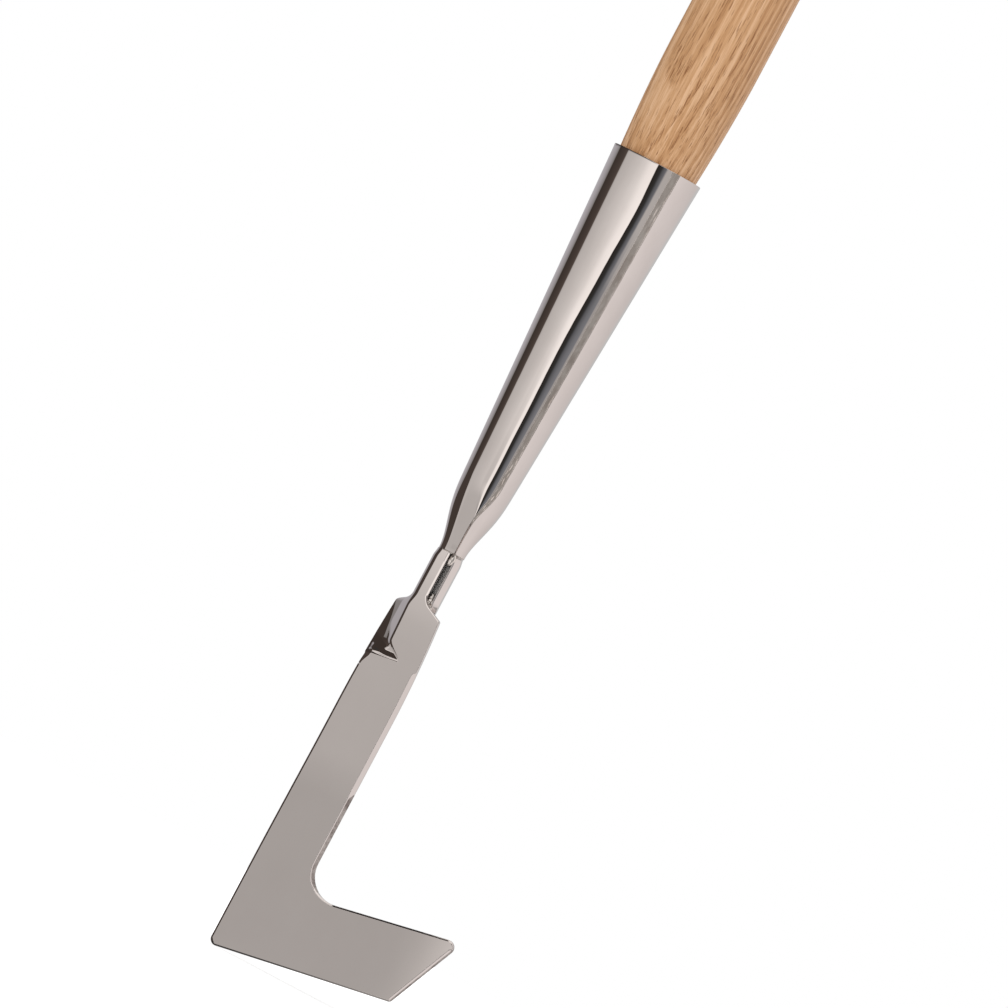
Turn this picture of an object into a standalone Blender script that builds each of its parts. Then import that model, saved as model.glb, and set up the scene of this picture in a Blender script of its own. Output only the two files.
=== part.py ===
"""Patio weeder: an L-shaped stainless blade, welded to a rolled socket, on a long ash shaft.

The tool stands upright: +Z runs up the shaft, X across the blade with the foot pointing to +X,
and the blade's face looks towards -Y.  Each piece is drawn about the shaft's axis, with the
blade's sharp heel corner at Z = 0.  An empty then moves them all together, so that the origin
lies at the blade's lowest point, under the middle of the tool's box.
"""
import math

import bmesh
import bpy
from mathutils import Vector

MM = 0.001

# Sheets and fits
BLADE_SHEET = 2.3 * MM
SOCKET_SHEET = 1.6 * MM
FIT_GAP = 0.3 * MM
WELD_WIDTH = 1.2 * MM

# Blade: the shank and the foot, measured on the face
BLADE_LEFT = -10.1 * MM
SHANK_WIDTH = 20.0 * MM
SHOULDER_HEIGHT = 130.3 * MM
DRAW_START = 38.0 * MM
LEFT_DRAW = 1.4 * MM
RIGHT_DRAW = 2.0 * MM
FOOT_REACH = 75.8 * MM
FOOT_RISE = 28.6 * MM
SOLE_ANGLE = math.radians(9.95)
FOOT_TOP_ANGLE = math.radians(11.1)
TOE_ANGLE = math.radians(23.6)
HEEL_RADIUS = 3.0 * MM
TOE_RADIUS = 1.5 * MM
TIP_RADIUS = 2.5 * MM
INNER_RADIUS = 10.0 * MM
SHOULDER_RADIUS = 0.9 * MM
SHOULDER_ANGLE = math.radians(25.7)
EDGE_ROUNDING = 0.4 * MM

# Stem: the channel that the top of the blade is rolled into
STEM_WIDTH = 10.1 * MM
STEM_DEPTH = 8.5 * MM
STEM_LENGTH = 22.5 * MM
STEM_LEFT = -5.3 * MM
STEM_TAPER = 0.4 * MM
STEM_TAPER_LENGTH = 3.0 * MM
STEM_BACK_RADIUS = 3.4 * MM
LEG_EDGE = 0.5 * MM
SLOT_FOOT_RADIUS = 3.6 * MM
WALL_SETBACK = 1.0 * MM
WALL_FOOT_CLEARANCE = 0.7 * MM
WRAP_FOOT = 4.2 * MM
WRAP_FOOT_DROP = 3.2 * MM

# Fin: the margin folded back beside the shoulder, with the dart that ends it
FIN_LENGTH = 12.8 * MM
FIN_TOP_ANGLE = math.radians(60.0)
FIN_FOOT_ANGLE = math.radians(48.0)
FIN_BEND_RADIUS = 2.8 * MM
FIN_WRAP_ANGLE = math.radians(136.0)
CREASE_TOP = -2.0 * MM
CREASE_FOOT = -1.1 * MM
FOLD_FLARE = 0.17
TURN_DROP = 0.2 * MM
TURN_LENGTH = 5.4 * MM
TURN_COLUMNS = 4
DART_LENGTH = 6.2 * MM
DART_TIP = 1.8 * MM
DART_LATENESS = 1.4
DART_TILT = math.radians(8.0)
SLIVER_WIDTH = 2.3 * MM
SLIVER_LENGTH = 5.6 * MM

# Socket: a rolled cone squeezed to a neck
SOCKET_LENGTH = 146.5 * MM
MOUTH_RADIUS = 16.1 * MM
CONE_SLOPE = 0.0561
SQUEEZE_LENGTH = 26.5 * MM
NECK_WIDTH = 9.2 * MM
NECK_DEPTH = 8.4 * MM
SQUEEZE_LATENESS = 1.6
SEAM_ANGLE = math.radians(29.0)

# Shaft
SHAFT_RADIUS = 15.9 * MM
SHAFT_EXPOSED = 1200.0 * MM
SWELL_LENGTH = 40.0 * MM
SWELL_POWER = 1.7
SHAFT_TOP_RADIUS = 14.2 * MM
TOP_TAPER_LENGTH = 500.0 * MM
DOME_HEIGHT = 11.0 * MM
NOSE_CLEARANCE = 12.0 * MM
NOSE_CHAMFER = 3.0 * MM

# Fixing screw, through the back of the socket
SCREW_BELOW_MOUTH = 22.0 * MM
SCREW_RADIUS = 2.0 * MM
SCREW_GRIP = 12.0 * MM
SCREW_POINT = 2.5 * MM
SCREW_HEAD_RADIUS = 4.2 * MM
SCREW_HEAD_HEIGHT = 2.4 * MM
SCREW_RIM_SHARE = 0.35
SCREW_RECESS_WIDTH = 1.2 * MM
SCREW_RECESS_DEPTH = 1.3 * MM

# Weld metal left in the stem's slot
LUMP_HEIGHT = 2.4 * MM
LUMP_BULGE = 1.6
BEAD_HALF_HEIGHT = 3.0 * MM
BEAD_RISE = 0.5 * MM
BEAD_TUCK = 0.7 * MM

# Facets
ROUND_STEPS = 40
CORNER_STEPS = 6
BEND_STEPS = 5
FLANK_STEPS = 3
SLIVER_STEPS = 3
DART_STEPS = 6

# Places that follow from the sizes above
FACE = -STEM_DEPTH / 2.0
BLADE_RIGHT = BLADE_LEFT + SHANK_WIDTH
WALL_INSIDE = STEM_LEFT + STEM_WIDTH - BLADE_SHEET
SLOT_WIDTH = WALL_INSIDE - LEG_EDGE
SLOT_CENTRE = LEG_EDGE + SLOT_WIDTH / 2.0
JOINT_HEIGHT = SHOULDER_HEIGHT + STEM_LENGTH
MOUTH_HEIGHT = JOINT_HEIGHT + SOCKET_LENGTH
SQUEEZE_START = SOCKET_LENGTH - SQUEEZE_LENGTH
NOSE_LENGTH = SQUEEZE_START - NOSE_CLEARANCE
WELD_HALF = WELD_WIDTH / 2.0
STEM_TOP = JOINT_HEIGHT - WELD_HALF - FIT_GAP
FIN_FOOT = SHOULDER_HEIGHT - FIN_LENGTH
DART_FOOT = FIN_FOOT - DART_LENGTH
SLIVER_FOOT = DART_FOOT - SLIVER_LENGTH


def ease(value, low, high):
    """An S-curve that is 0 at low and 1 at high."""
    part = min(max((value - low) / (high - low), 0.0), 1.0)
    return part * part * (3.0 - 2.0 * part)


def mix(first, second, share):
    return first + (second - first) * share


def make_material(name, colour, roughness, metallic):
    material = bpy.data.materials.new(name)
    material.use_nodes = True
    material.diffuse_color = (*colour, 1.0)
    shader = material.node_tree.nodes["Principled BSDF"]
    shader.inputs["Base Color"].default_value = (*colour, 1.0)
    shader.inputs["Roughness"].default_value = roughness
    shader.inputs["Metallic"].default_value = metallic
    return material


def add_object(name, mesh, collection, material=None):
    piece = bpy.data.objects.new(name, mesh)
    collection.objects.link(piece)
    if material:
        mesh.materials.append(material)
        mesh.shade_smooth()
        mesh.set_sharp_from_angle(angle=math.radians(35.0))
    return piece


def add_cutter(name, mesh, collection):
    cutter = add_object(name, mesh, collection)
    cutter.hide_render = True
    cutter.display_type = 'WIRE'
    return cutter


def add_boolean(piece, cutter, operation):
    modifier = piece.modifiers.new(cutter.name, 'BOOLEAN')
    modifier.operation = operation
    modifier.solver = 'EXACT'
    modifier.object = cutter


def box_mesh(name, size, centre):
    """A box of the given size, scaled in its mesh."""
    grid = bmesh.new()
    bmesh.ops.create_cube(grid, size=1.0)
    bmesh.ops.scale(grid, vec=size, verts=grid.verts)
    bmesh.ops.translate(grid, vec=centre, verts=grid.verts)
    mesh = bpy.data.meshes.new(name)
    grid.to_mesh(mesh)
    grid.free()
    return mesh


def ball_mesh(name, radii, centre):
    """An ellipsoid with the given half-sizes."""
    grid = bmesh.new()
    bmesh.ops.create_uvsphere(grid, u_segments=16, v_segments=10, radius=1.0)
    bmesh.ops.scale(grid, vec=radii, verts=grid.verts)
    bmesh.ops.translate(grid, vec=centre, verts=grid.verts)
    mesh = bpy.data.meshes.new(name)
    grid.to_mesh(mesh)
    grid.free()
    return mesh


def turned_piece(name, profile, collection, material):
    """Spins a profile of (radius, height) points, listed from top to bottom, about Z."""
    grid = bmesh.new()
    points = [grid.verts.new((radius, 0.0, height)) for radius, height in profile]
    for upper, lower in zip(points, points[1:]):
        grid.edges.new((upper, lower))
    mesh = bpy.data.meshes.new(name)
    grid.to_mesh(mesh)
    grid.free()
    piece = add_object(name, mesh, collection, material)
    screw = piece.modifiers.new("turn", 'SCREW')
    screw.steps = ROUND_STEPS
    screw.render_steps = ROUND_STEPS
    screw.use_merge_vertices = True
    screw.merge_threshold = 0.00001
    screw.use_smooth_shade = True
    return piece


def round_corner(before, corner, after, radius):
    """Points of the arc that rounds a corner, in the order of the outline."""
    corner = Vector(corner)
    towards_before = (Vector(before) - corner).normalized()
    towards_after = (Vector(after) - corner).normalized()
    half_angle = towards_before.angle(towards_after) / 2.0
    reach = radius / math.tan(half_angle)
    bisector = (towards_before + towards_after).normalized()
    centre = corner + bisector * (radius / math.sin(half_angle))
    start = corner + towards_before * reach - centre
    end = corner + towards_after * reach - centre
    sweep = start.angle(end)
    points = []
    for step in range(CORNER_STEPS + 1):
        share = step / CORNER_STEPS
        weight_start = math.sin((1.0 - share) * sweep) / math.sin(sweep)
        weight_end = math.sin(share * sweep) / math.sin(sweep)
        points.append(tuple(centre + start * weight_start + end * weight_end))
    return points


def blade_edge(height, side, draw):
    """The shank's edge, which draws in along a parabola towards the shoulder."""
    above = max(height - (SHOULDER_HEIGHT - DRAW_START), 0.0)
    return side + draw * (above / DRAW_START) ** 2


def left_edge(height):
    return blade_edge(height, BLADE_LEFT, LEFT_DRAW)


def right_edge(height):
    return blade_edge(height, BLADE_RIGHT, -RIGHT_DRAW)


def foot_corners():
    """The toe and the tip of the foot, and its sharp inner corner, as (x, z)."""
    inner = (BLADE_RIGHT, FOOT_RISE)
    tip_x = BLADE_LEFT + FOOT_REACH
    tip = (tip_x, FOOT_RISE + (tip_x - BLADE_RIGHT) * math.tan(FOOT_TOP_ANGLE))
    sole_slope = math.tan(SOLE_ANGLE)
    end_slope = math.tan(TOE_ANGLE)
    drop = (tip[1] - sole_slope * (tip_x - BLADE_LEFT)) / (1.0 - sole_slope * end_slope)
    toe = (tip_x - drop * end_slope, tip[1] - drop)
    return inner, tip, toe


def shank_outline():
    """The flat face's outline from the sliver's foot round the foot to the top of the leg."""
    inner, tip, toe = foot_corners()
    heel = (BLADE_LEFT, 0.0)
    left_side = (BLADE_LEFT, DART_FOOT / 2.0)
    shoulder = (right_edge(SHOULDER_HEIGHT), SHOULDER_HEIGHT)
    slope = math.tan(SHOULDER_ANGLE)
    slot_foot = (LEG_EDGE, SHOULDER_HEIGHT + (shoulder[0] - LEG_EDGE) * slope)
    draw_foot = SHOULDER_HEIGHT - DRAW_START
    draw_top = SHOULDER_HEIGHT - 3.0 * SHOULDER_RADIUS
    drawn = []
    for step in range(CORNER_STEPS):
        height = mix(draw_foot, draw_top, step / (CORNER_STEPS - 1.0))
        drawn.append((right_edge(height), height))
    outline = [(left_edge(draw_foot), draw_foot)]
    outline += round_corner(left_side, heel, toe, HEEL_RADIUS)
    outline += round_corner(heel, toe, tip, TOE_RADIUS)
    outline += round_corner(toe, tip, inner, TIP_RADIUS)
    outline += round_corner(tip, inner, drawn[0], INNER_RADIUS)
    outline += drawn
    outline += round_corner(drawn[-1], shoulder, slot_foot, SHOULDER_RADIUS)
    outline += round_corner(shoulder, slot_foot, (LEG_EDGE, STEM_TOP), SLOT_FOOT_RADIUS)
    outline.append((LEG_EDGE, STEM_TOP))
    return outline


def stem_section(height):
    """The stem's channel as (x, depth), from the front leg round the back to the right wall."""
    narrowing = STEM_TAPER * ease(height, STEM_TOP - STEM_TAPER_LENGTH, STEM_TOP)
    left = STEM_LEFT + narrowing
    right = STEM_LEFT + STEM_WIDTH - narrowing
    radius = STEM_DEPTH / 2.0
    columns = BEND_STEPS + FLANK_STEPS
    angles = [FIN_WRAP_ANGLE * column / columns for column in range(columns + 1)]
    angles += [mix(FIN_WRAP_ANGLE, math.pi, share) for share in (0.5, 1.0)]
    points = [(left + radius * (1.0 - math.sin(a)), radius * (1.0 - math.cos(a))) for a in angles]
    for step in range(CORNER_STEPS + 1):
        angle = math.pi / 2.0 * step / CORNER_STEPS
        across = right - STEM_BACK_RADIUS * (1.0 - math.sin(angle))
        points.append((across, STEM_DEPTH - STEM_BACK_RADIUS * (1.0 - math.cos(angle))))
    wall_foot = SHOULDER_HEIGHT + WRAP_FOOT
    behind = BLADE_SHEET + WALL_FOOT_CLEARANCE
    setback = mix(behind, WALL_SETBACK, ease(height, wall_foot, wall_foot + WRAP_FOOT))
    points.append((right, setback))
    return points


def fin_section(height):
    """The folded margin as (x, depth), from the crease to the fin's edge, which flares outwards."""
    share = (SHOULDER_HEIGHT - height) / FIN_LENGTH
    crease = mix(CREASE_TOP, CREASE_FOOT, share)
    angle = mix(FIN_TOP_ANGLE, FIN_FOOT_ANGLE, share)
    points = []
    for step in range(BEND_STEPS + 1):
        turn = angle * step / BEND_STEPS
        points.append((crease - FIN_BEND_RADIUS * math.sin(turn), FIN_BEND_RADIUS * (1.0 - math.cos(turn))))
    bend_x, bend_depth = points[-1]
    edge_x = left_edge(height)
    for step in range(1, FLANK_STEPS + 1):
        across = mix(bend_x, edge_x, step / FLANK_STEPS)
        points.append((across, bend_depth + (bend_x - across) * math.tan(angle)))
    return [(across - FOLD_FLARE * depth, depth) for across, depth in points]


def turned_section(height):
    """The section where the fin turns into the stem, with the wrap following the fin's edge."""
    turn_foot = SHOULDER_HEIGHT - TURN_DROP
    share = ease(height, turn_foot, turn_foot + TURN_LENGTH)
    stem = stem_section(height)
    fin = fin_section(height)
    points = []
    for stem_point, fin_point in zip(stem, fin):
        points.append((mix(fin_point[0], stem_point[0], share), mix(fin_point[1], stem_point[1], share)))
    shift_x = points[-1][0] - stem[len(fin) - 1][0]
    shift_depth = points[-1][1] - stem[len(fin) - 1][1]
    for step, stem_point in enumerate(stem[len(fin):]):
        fade = max(0.0, 1.0 - (step + 1) / TURN_COLUMNS)
        points.append((stem_point[0] + shift_x * fade, stem_point[1] + shift_depth * fade))
    return points


def dart_section(share):
    """A row of the dart: 0 is the fin's foot, 1 the dart's straight lower edge, as (x, depth, z).

    The crease swings out to the dart's tip, while the sheet comes back to the flat, late and so
    steeply, along the lower edge.
    """
    fin = fin_section(FIN_FOOT)
    height = mix(FIN_FOOT, DART_FOOT, share)
    crease = mix(fin[0][0], DART_TIP, math.sin(math.pi / 2.0 * share))
    edge_x = left_edge(height)
    rise = share ** DART_LATENESS
    points = []
    for fin_x, fin_depth in fin:
        along = (fin_x - fin[0][0]) / (fin[-1][0] - fin[0][0])
        across = mix(crease, edge_x, along)
        sliver = max(edge_x + SLIVER_WIDTH - across, 0.0) * math.tan(FIN_FOOT_ANGLE)
        tilt = (across - edge_x) * math.tan(DART_TILT) * share
        depth = mix(fin_depth, sliver, rise)
        points.append((across - FOLD_FLARE * depth, depth, height + tilt))
    return points


def blade_rows():
    """Every row of the folded sheet, from the stem's top to the dart's lower edge."""
    heights = [STEM_TOP - STEM_TAPER_LENGTH * share for share in (0.0, 0.5, 1.0)]
    heights.append(mix(STEM_TOP, SHOULDER_HEIGHT + TURN_LENGTH, 0.6))
    turn_top = SHOULDER_HEIGHT + TURN_LENGTH
    wrap_foot = SHOULDER_HEIGHT + WRAP_FOOT
    heights += [mix(turn_top, wrap_foot, share) for share in (0.0, 0.5, 1.0)]
    wrap_rows = len(heights)
    heights += [mix(wrap_foot, SHOULDER_HEIGHT, step / 4.0) for step in range(1, 5)]
    heights += [mix(SHOULDER_HEIGHT, FIN_FOOT, step / 4.0) for step in range(1, 4)]
    rows = []
    for number, height in enumerate(heights):
        section = turned_section(height)
        if number >= wrap_rows:
            section = section[:BEND_STEPS + FLANK_STEPS + 1]
        columns = len(section)
        lowered = ease(height, STEM_TOP, wrap_foot)
        fin_columns = BEND_STEPS + FLANK_STEPS
        row = []
        for column, (across, depth) in enumerate(section):
            past_fin = max(column - fin_columns, 0) / max(columns - 1.0 - fin_columns, 1.0)
            row.append((across, depth, height - WRAP_FOOT_DROP * past_fin * lowered))
        rows.append(row)
    rows += [dart_section(step / DART_STEPS) for step in range(DART_STEPS + 1)]
    return rows


def blade_mesh(name):
    """The sheet's outer face: the flat face as one polygon, and the folded rows beside it."""
    grid = bmesh.new()

    def vertex(across, depth, height):
        return grid.verts.new((across, FACE + depth, height))

    rows = [[vertex(*point) for point in row] for row in blade_rows()]
    for upper, lower in zip(rows, rows[1:]):
        for column in range(min(len(upper), len(lower)) - 1):
            grid.faces.new((upper[column], upper[column + 1], lower[column + 1], lower[column]))
    flat = [row[0] for row in rows]
    dart_foot = rows[-1]
    first = next(place for place, point in enumerate(dart_foot) if point.co.y > FACE) - 1
    flat += dart_foot[1:first + 1]
    above = dart_foot[first:]
    edge = dart_foot[-1].co.copy()
    for step in range(1, SLIVER_STEPS):
        share = step / SLIVER_STEPS
        height = mix(DART_FOOT, SLIVER_FOOT, share)
        row = []
        for point in dart_foot[first:]:
            inward = (point.co.x - edge.x) * (1.0 - share)
            row.append(vertex(left_edge(height) + inward, (point.co.y - FACE) * (1.0 - share), height))
        for column in range(len(row) - 1):
            grid.faces.new((above[column], above[column + 1], row[column + 1], row[column]))
        flat.append(row[0])
        above = row
    sliver_end = vertex(left_edge(SLIVER_FOOT), 0.0, SLIVER_FOOT)
    for inner, outer in zip(above, above[1:]):
        grid.faces.new((inner, outer, sliver_end))
    flat.append(sliver_end)
    flat += [vertex(across, 0.0, height) for across, height in shank_outline()]
    grid.faces.new(flat)
    bmesh.ops.recalc_face_normals(grid, faces=grid.faces)
    grid.faces.ensure_lookup_table()
    if max(grid.faces, key=lambda face: face.calc_area()).normal.y > 0.0:
        bmesh.ops.reverse_faces(grid, faces=grid.faces)
    mesh = bpy.data.meshes.new(name)
    grid.to_mesh(mesh)
    grid.free()
    return mesh


def build_blade(collection, material):
    blade = add_object("blade", blade_mesh("blade"), collection, material)
    sheet = blade.modifiers.new("sheet", 'SOLIDIFY')
    sheet.thickness = BLADE_SHEET
    sheet.offset = -1.0
    sheet.use_even_offset = True
    rounding = blade.modifiers.new("ground_edges", 'BEVEL')
    rounding.width = EDGE_ROUNDING
    rounding.segments = 1
    rounding.limit_method = 'ANGLE'
    rounding.angle_limit = math.radians(60.0)
    return blade


def cone_radius(below_mouth):
    return MOUTH_RADIUS - CONE_SLOPE * below_mouth


def socket_half_sizes(below_mouth):
    """The socket's outer half-width and half-depth at a distance below its mouth."""
    part = max((below_mouth - SQUEEZE_START) / (SOCKET_LENGTH - SQUEEZE_START), 0.0)
    squeeze = ease(part ** SQUEEZE_LATENESS, 0.0, 1.0)
    cone = cone_radius(below_mouth)
    return mix(cone, NECK_WIDTH / 2.0, squeeze), mix(cone, NECK_DEPTH / 2.0, squeeze)


def socket_mesh(name):
    """The socket's outer face, lofted from the round mouth to the squeezed neck."""
    grid = bmesh.new()
    depths = [0.0, SQUEEZE_START]
    end = SOCKET_LENGTH - WELD_HALF - FIT_GAP
    depths += [mix(SQUEEZE_START, end, (step + 1) / 10.0) for step in range(10)]
    rings = []
    for below in depths:
        half_width, half_depth = socket_half_sizes(below)
        ring = []
        for step in range(ROUND_STEPS):
            angle = 2.0 * math.pi * step / ROUND_STEPS
            place = (half_width * math.cos(angle), half_depth * math.sin(angle), MOUTH_HEIGHT - below)
            ring.append(grid.verts.new(place))
        rings.append(ring)
    for upper, lower in zip(rings, rings[1:]):
        for step in range(ROUND_STEPS):
            following = (step + 1) % ROUND_STEPS
            grid.faces.new((upper[step], lower[step], lower[following], upper[following]))
    mesh = bpy.data.meshes.new(name)
    grid.to_mesh(mesh)
    grid.free()
    return mesh


def socket_shell(name, collection, material):
    socket = add_object(name, socket_mesh(name), collection, material)
    wall = socket.modifiers.new("wall", 'SOLIDIFY')
    wall.thickness = SOCKET_SHEET
    wall.offset = -1.0
    wall.use_even_offset = True
    return socket


def seam_slab(name, width, collection):
    """A thin upright slab from the axis out through the front right of the socket."""
    reach = 2.0 * MOUTH_RADIUS
    size = (width, reach, SOCKET_LENGTH + reach)
    mesh = box_mesh(name, size, (0.0, -reach / 2.0, MOUTH_HEIGHT - SOCKET_LENGTH / 2.0))
    slab = add_cutter(name, mesh, collection)
    slab.rotation_euler.z = SEAM_ANGLE
    return slab


def build_socket(collection, cutters, material, weld_material):
    socket = socket_shell("socket", collection, material)
    slot = seam_slab("seam_slot", WELD_WIDTH + 2.0 * FIT_GAP, cutters)
    add_boolean(socket, slot, 'DIFFERENCE')
    bead = socket_shell("seam_weld", collection, weld_material)
    add_boolean(bead, seam_slab("seam_fill", WELD_WIDTH, cutters), 'INTERSECT')
    return socket


def shaft_radius(above_mouth):
    """The shaft's radius: it fills the cone, swells to full size, then thins towards the top."""
    fitted = SOCKET_SHEET * math.hypot(1.0, CONE_SLOPE) + FIT_GAP
    if above_mouth <= 0.0:
        return cone_radius(-above_mouth) - fitted
    mouth = MOUTH_RADIUS - fitted
    rest = max(1.0 - above_mouth / SWELL_LENGTH, 0.0)
    full = SHAFT_RADIUS - (SHAFT_RADIUS - mouth) * rest ** SWELL_POWER
    thinning = ease(above_mouth, SHAFT_EXPOSED - TOP_TAPER_LENGTH, SHAFT_EXPOSED)
    return full - (SHAFT_RADIUS - SHAFT_TOP_RADIUS) * thinning


def build_handle(collection, material):
    dome_foot = SHAFT_EXPOSED - DOME_HEIGHT
    profile = []
    for step in range(8):
        angle = math.pi / 2.0 * step / 8.0
        profile.append((shaft_radius(dome_foot) * math.sin(angle), dome_foot + DOME_HEIGHT * math.cos(angle)))
    taper_foot = SHAFT_EXPOSED - TOP_TAPER_LENGTH
    heights = [mix(dome_foot, taper_foot, step / 5.0) for step in range(6)]
    heights += [mix(SWELL_LENGTH, 0.0, step / 5.0) for step in range(6)]
    heights.append(NOSE_CHAMFER - NOSE_LENGTH)
    profile += [(shaft_radius(height), height) for height in heights]
    profile.append((shaft_radius(-NOSE_LENGTH) - NOSE_CHAMFER, -NOSE_LENGTH))
    profile.append((0.0, -NOSE_LENGTH))
    handle = turned_piece("handle", profile, collection, material)
    handle.location.z = MOUTH_HEIGHT
    return handle


def build_screw(collection, cutters, socket, handle, material):
    """A round-headed screw whose axis runs along Y, with its head on the back of the socket."""
    height = MOUTH_HEIGHT - SCREW_BELOW_MOUTH
    wall = cone_radius(SCREW_BELOW_MOUTH - SCREW_HEAD_RADIUS)
    seat = wall + FIT_GAP
    point = cone_radius(SCREW_BELOW_MOUTH) - SCREW_GRIP
    profile = []
    for step in range(6):
        angle = math.pi / 2.0 * step / 5.0
        crown = seat + SCREW_HEAD_HEIGHT * mix(SCREW_RIM_SHARE, 1.0, math.cos(angle))
        profile.append((SCREW_HEAD_RADIUS * math.sin(angle), crown))
    profile.append((SCREW_HEAD_RADIUS, seat))
    profile.append((SCREW_RADIUS, seat))
    profile.append((SCREW_RADIUS, point + SCREW_POINT))
    profile.append((0.0, point))
    screw = turned_piece("fixing_screw", profile, collection, material)
    screw.location.z = height
    screw.rotation_euler.x = -math.pi / 2.0
    crown = seat + SCREW_HEAD_HEIGHT
    for name, width, length in (("recess_up", SCREW_RECESS_WIDTH, SCREW_HEAD_RADIUS),
                                ("recess_across", SCREW_HEAD_RADIUS, SCREW_RECESS_WIDTH)):
        size = (width, 2.0 * SCREW_RECESS_DEPTH, length)
        recess = add_cutter(name, box_mesh(name, size, (0.0, crown, height)), cutters)
        add_boolean(screw, recess, 'DIFFERENCE')
    bore = bmesh.new()
    hole_radius = SCREW_RADIUS + FIT_GAP
    length = seat - point + FIT_GAP
    bmesh.ops.create_cone(bore, cap_ends=True, segments=24, radius1=hole_radius, radius2=hole_radius,
                          depth=length)
    mesh = bpy.data.meshes.new("screw_bore")
    bore.to_mesh(mesh)
    bore.free()
    cutter = add_cutter("screw_bore", mesh, cutters)
    cutter.rotation_euler.x = math.pi / 2.0
    cutter.location = (0.0, point - FIT_GAP + length / 2.0, height)
    add_boolean(socket, cutter, 'DIFFERENCE')
    add_boolean(handle, cutter, 'DIFFERENCE')


def build_neck_weld(collection, cutters, material):
    """The butt weld across the neck, with the lump that it leaves in the stem's slot."""
    grid = bmesh.new()
    bmesh.ops.create_cone(grid, cap_ends=True, segments=ROUND_STEPS, radius1=1.0, radius2=1.0, depth=1.0)
    bmesh.ops.scale(grid, vec=(NECK_WIDTH / 2.0, NECK_DEPTH / 2.0, WELD_WIDTH), verts=grid.verts)
    mesh = bpy.data.meshes.new("neck_weld")
    grid.to_mesh(mesh)
    grid.free()
    weld = add_object("neck_weld", mesh, collection, material)
    weld.location.z = JOINT_HEIGHT
    half_width = SLOT_WIDTH / 2.0 - FIT_GAP
    centre = (SLOT_CENTRE, FACE + half_width, JOINT_HEIGHT + WELD_HALF - LUMP_HEIGHT)
    mesh = ball_mesh("neck_lump", (half_width, LUMP_BULGE * half_width, LUMP_HEIGHT), centre)
    add_boolean(weld, add_cutter("neck_lump", mesh, cutters), 'UNION')


def build_slot_weld(collection, material):
    """The rough bead in the channel behind the slot's foot, between the leg and the right wall."""
    half_width = SLOT_WIDTH / 2.0 + BEAD_TUCK
    foot = SHOULDER_HEIGHT + (right_edge(SHOULDER_HEIGHT) - SLOT_CENTRE) * math.tan(SHOULDER_ANGLE)
    centre = (WALL_INSIDE - FIT_GAP - half_width, FACE + BLADE_SHEET + FIT_GAP + half_width,
              foot + BEAD_RISE)
    bead = ball_mesh("slot_weld", (half_width, half_width, BEAD_HALF_HEIGHT), centre)
    add_object("slot_weld", bead, collection, material)


def centre_tool(parts, cutters):
    """Parents every piece to an empty that puts the origin under the middle of the tool's box."""
    outline = shank_outline()
    blade_reach = max(across for across, height in outline)
    lowest = min(height for across, height in outline)
    screw_reach = cone_radius(SCREW_BELOW_MOUTH - SCREW_HEAD_RADIUS) + FIT_GAP + SCREW_HEAD_HEIGHT
    widest = max(MOUTH_RADIUS, SHAFT_RADIUS)
    tool = bpy.data.objects.new("tool", None)
    parts.objects.link(tool)
    tool.location = ((widest - blade_reach) / 2.0, (widest - screw_reach) / 2.0, -lowest)
    for piece in list(parts.objects) + list(cutters.objects):
        if piece is not tool:
            piece.parent = tool


def main():
    for old in list(bpy.data.objects):
        bpy.data.objects.remove(old, do_unlink=True)
    parts = bpy.data.collections.new("patio_weeder")
    cutters = bpy.data.collections.new("cutters")
    bpy.context.scene.collection.children.link(parts)
    bpy.context.scene.collection.children.link(cutters)
    steel = make_material("polished_steel", (0.55, 0.51, 0.49), 0.08, 1.0)
    weld = make_material("ground_weld", (0.42, 0.38, 0.35), 0.30, 1.0)
    wood = make_material("oiled_ash", (0.55, 0.31, 0.15), 0.45, 0.0)
    zinc = make_material("screw_steel", (0.50, 0.50, 0.50), 0.25, 1.0)
    handle = build_handle(parts, wood)
    socket = build_socket(parts, cutters, steel, weld)
    build_blade(parts, steel)
    build_neck_weld(parts, cutters, weld)
    build_slot_weld(parts, weld)
    build_screw(parts, cutters, socket, handle, zinc)
    centre_tool(parts, cutters)


main()
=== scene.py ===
"""Looks of the patio weeder: mirror-polished stainless head on an oiled ash shaft.

Lengths are in metres.  Pieces are drawn about the shaft's axis, with Z = 0 at the blade's sharp
heel corner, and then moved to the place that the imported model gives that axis.
"""
import math

import bmesh
import bpy
from mathutils import Matrix, Vector, noise


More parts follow.
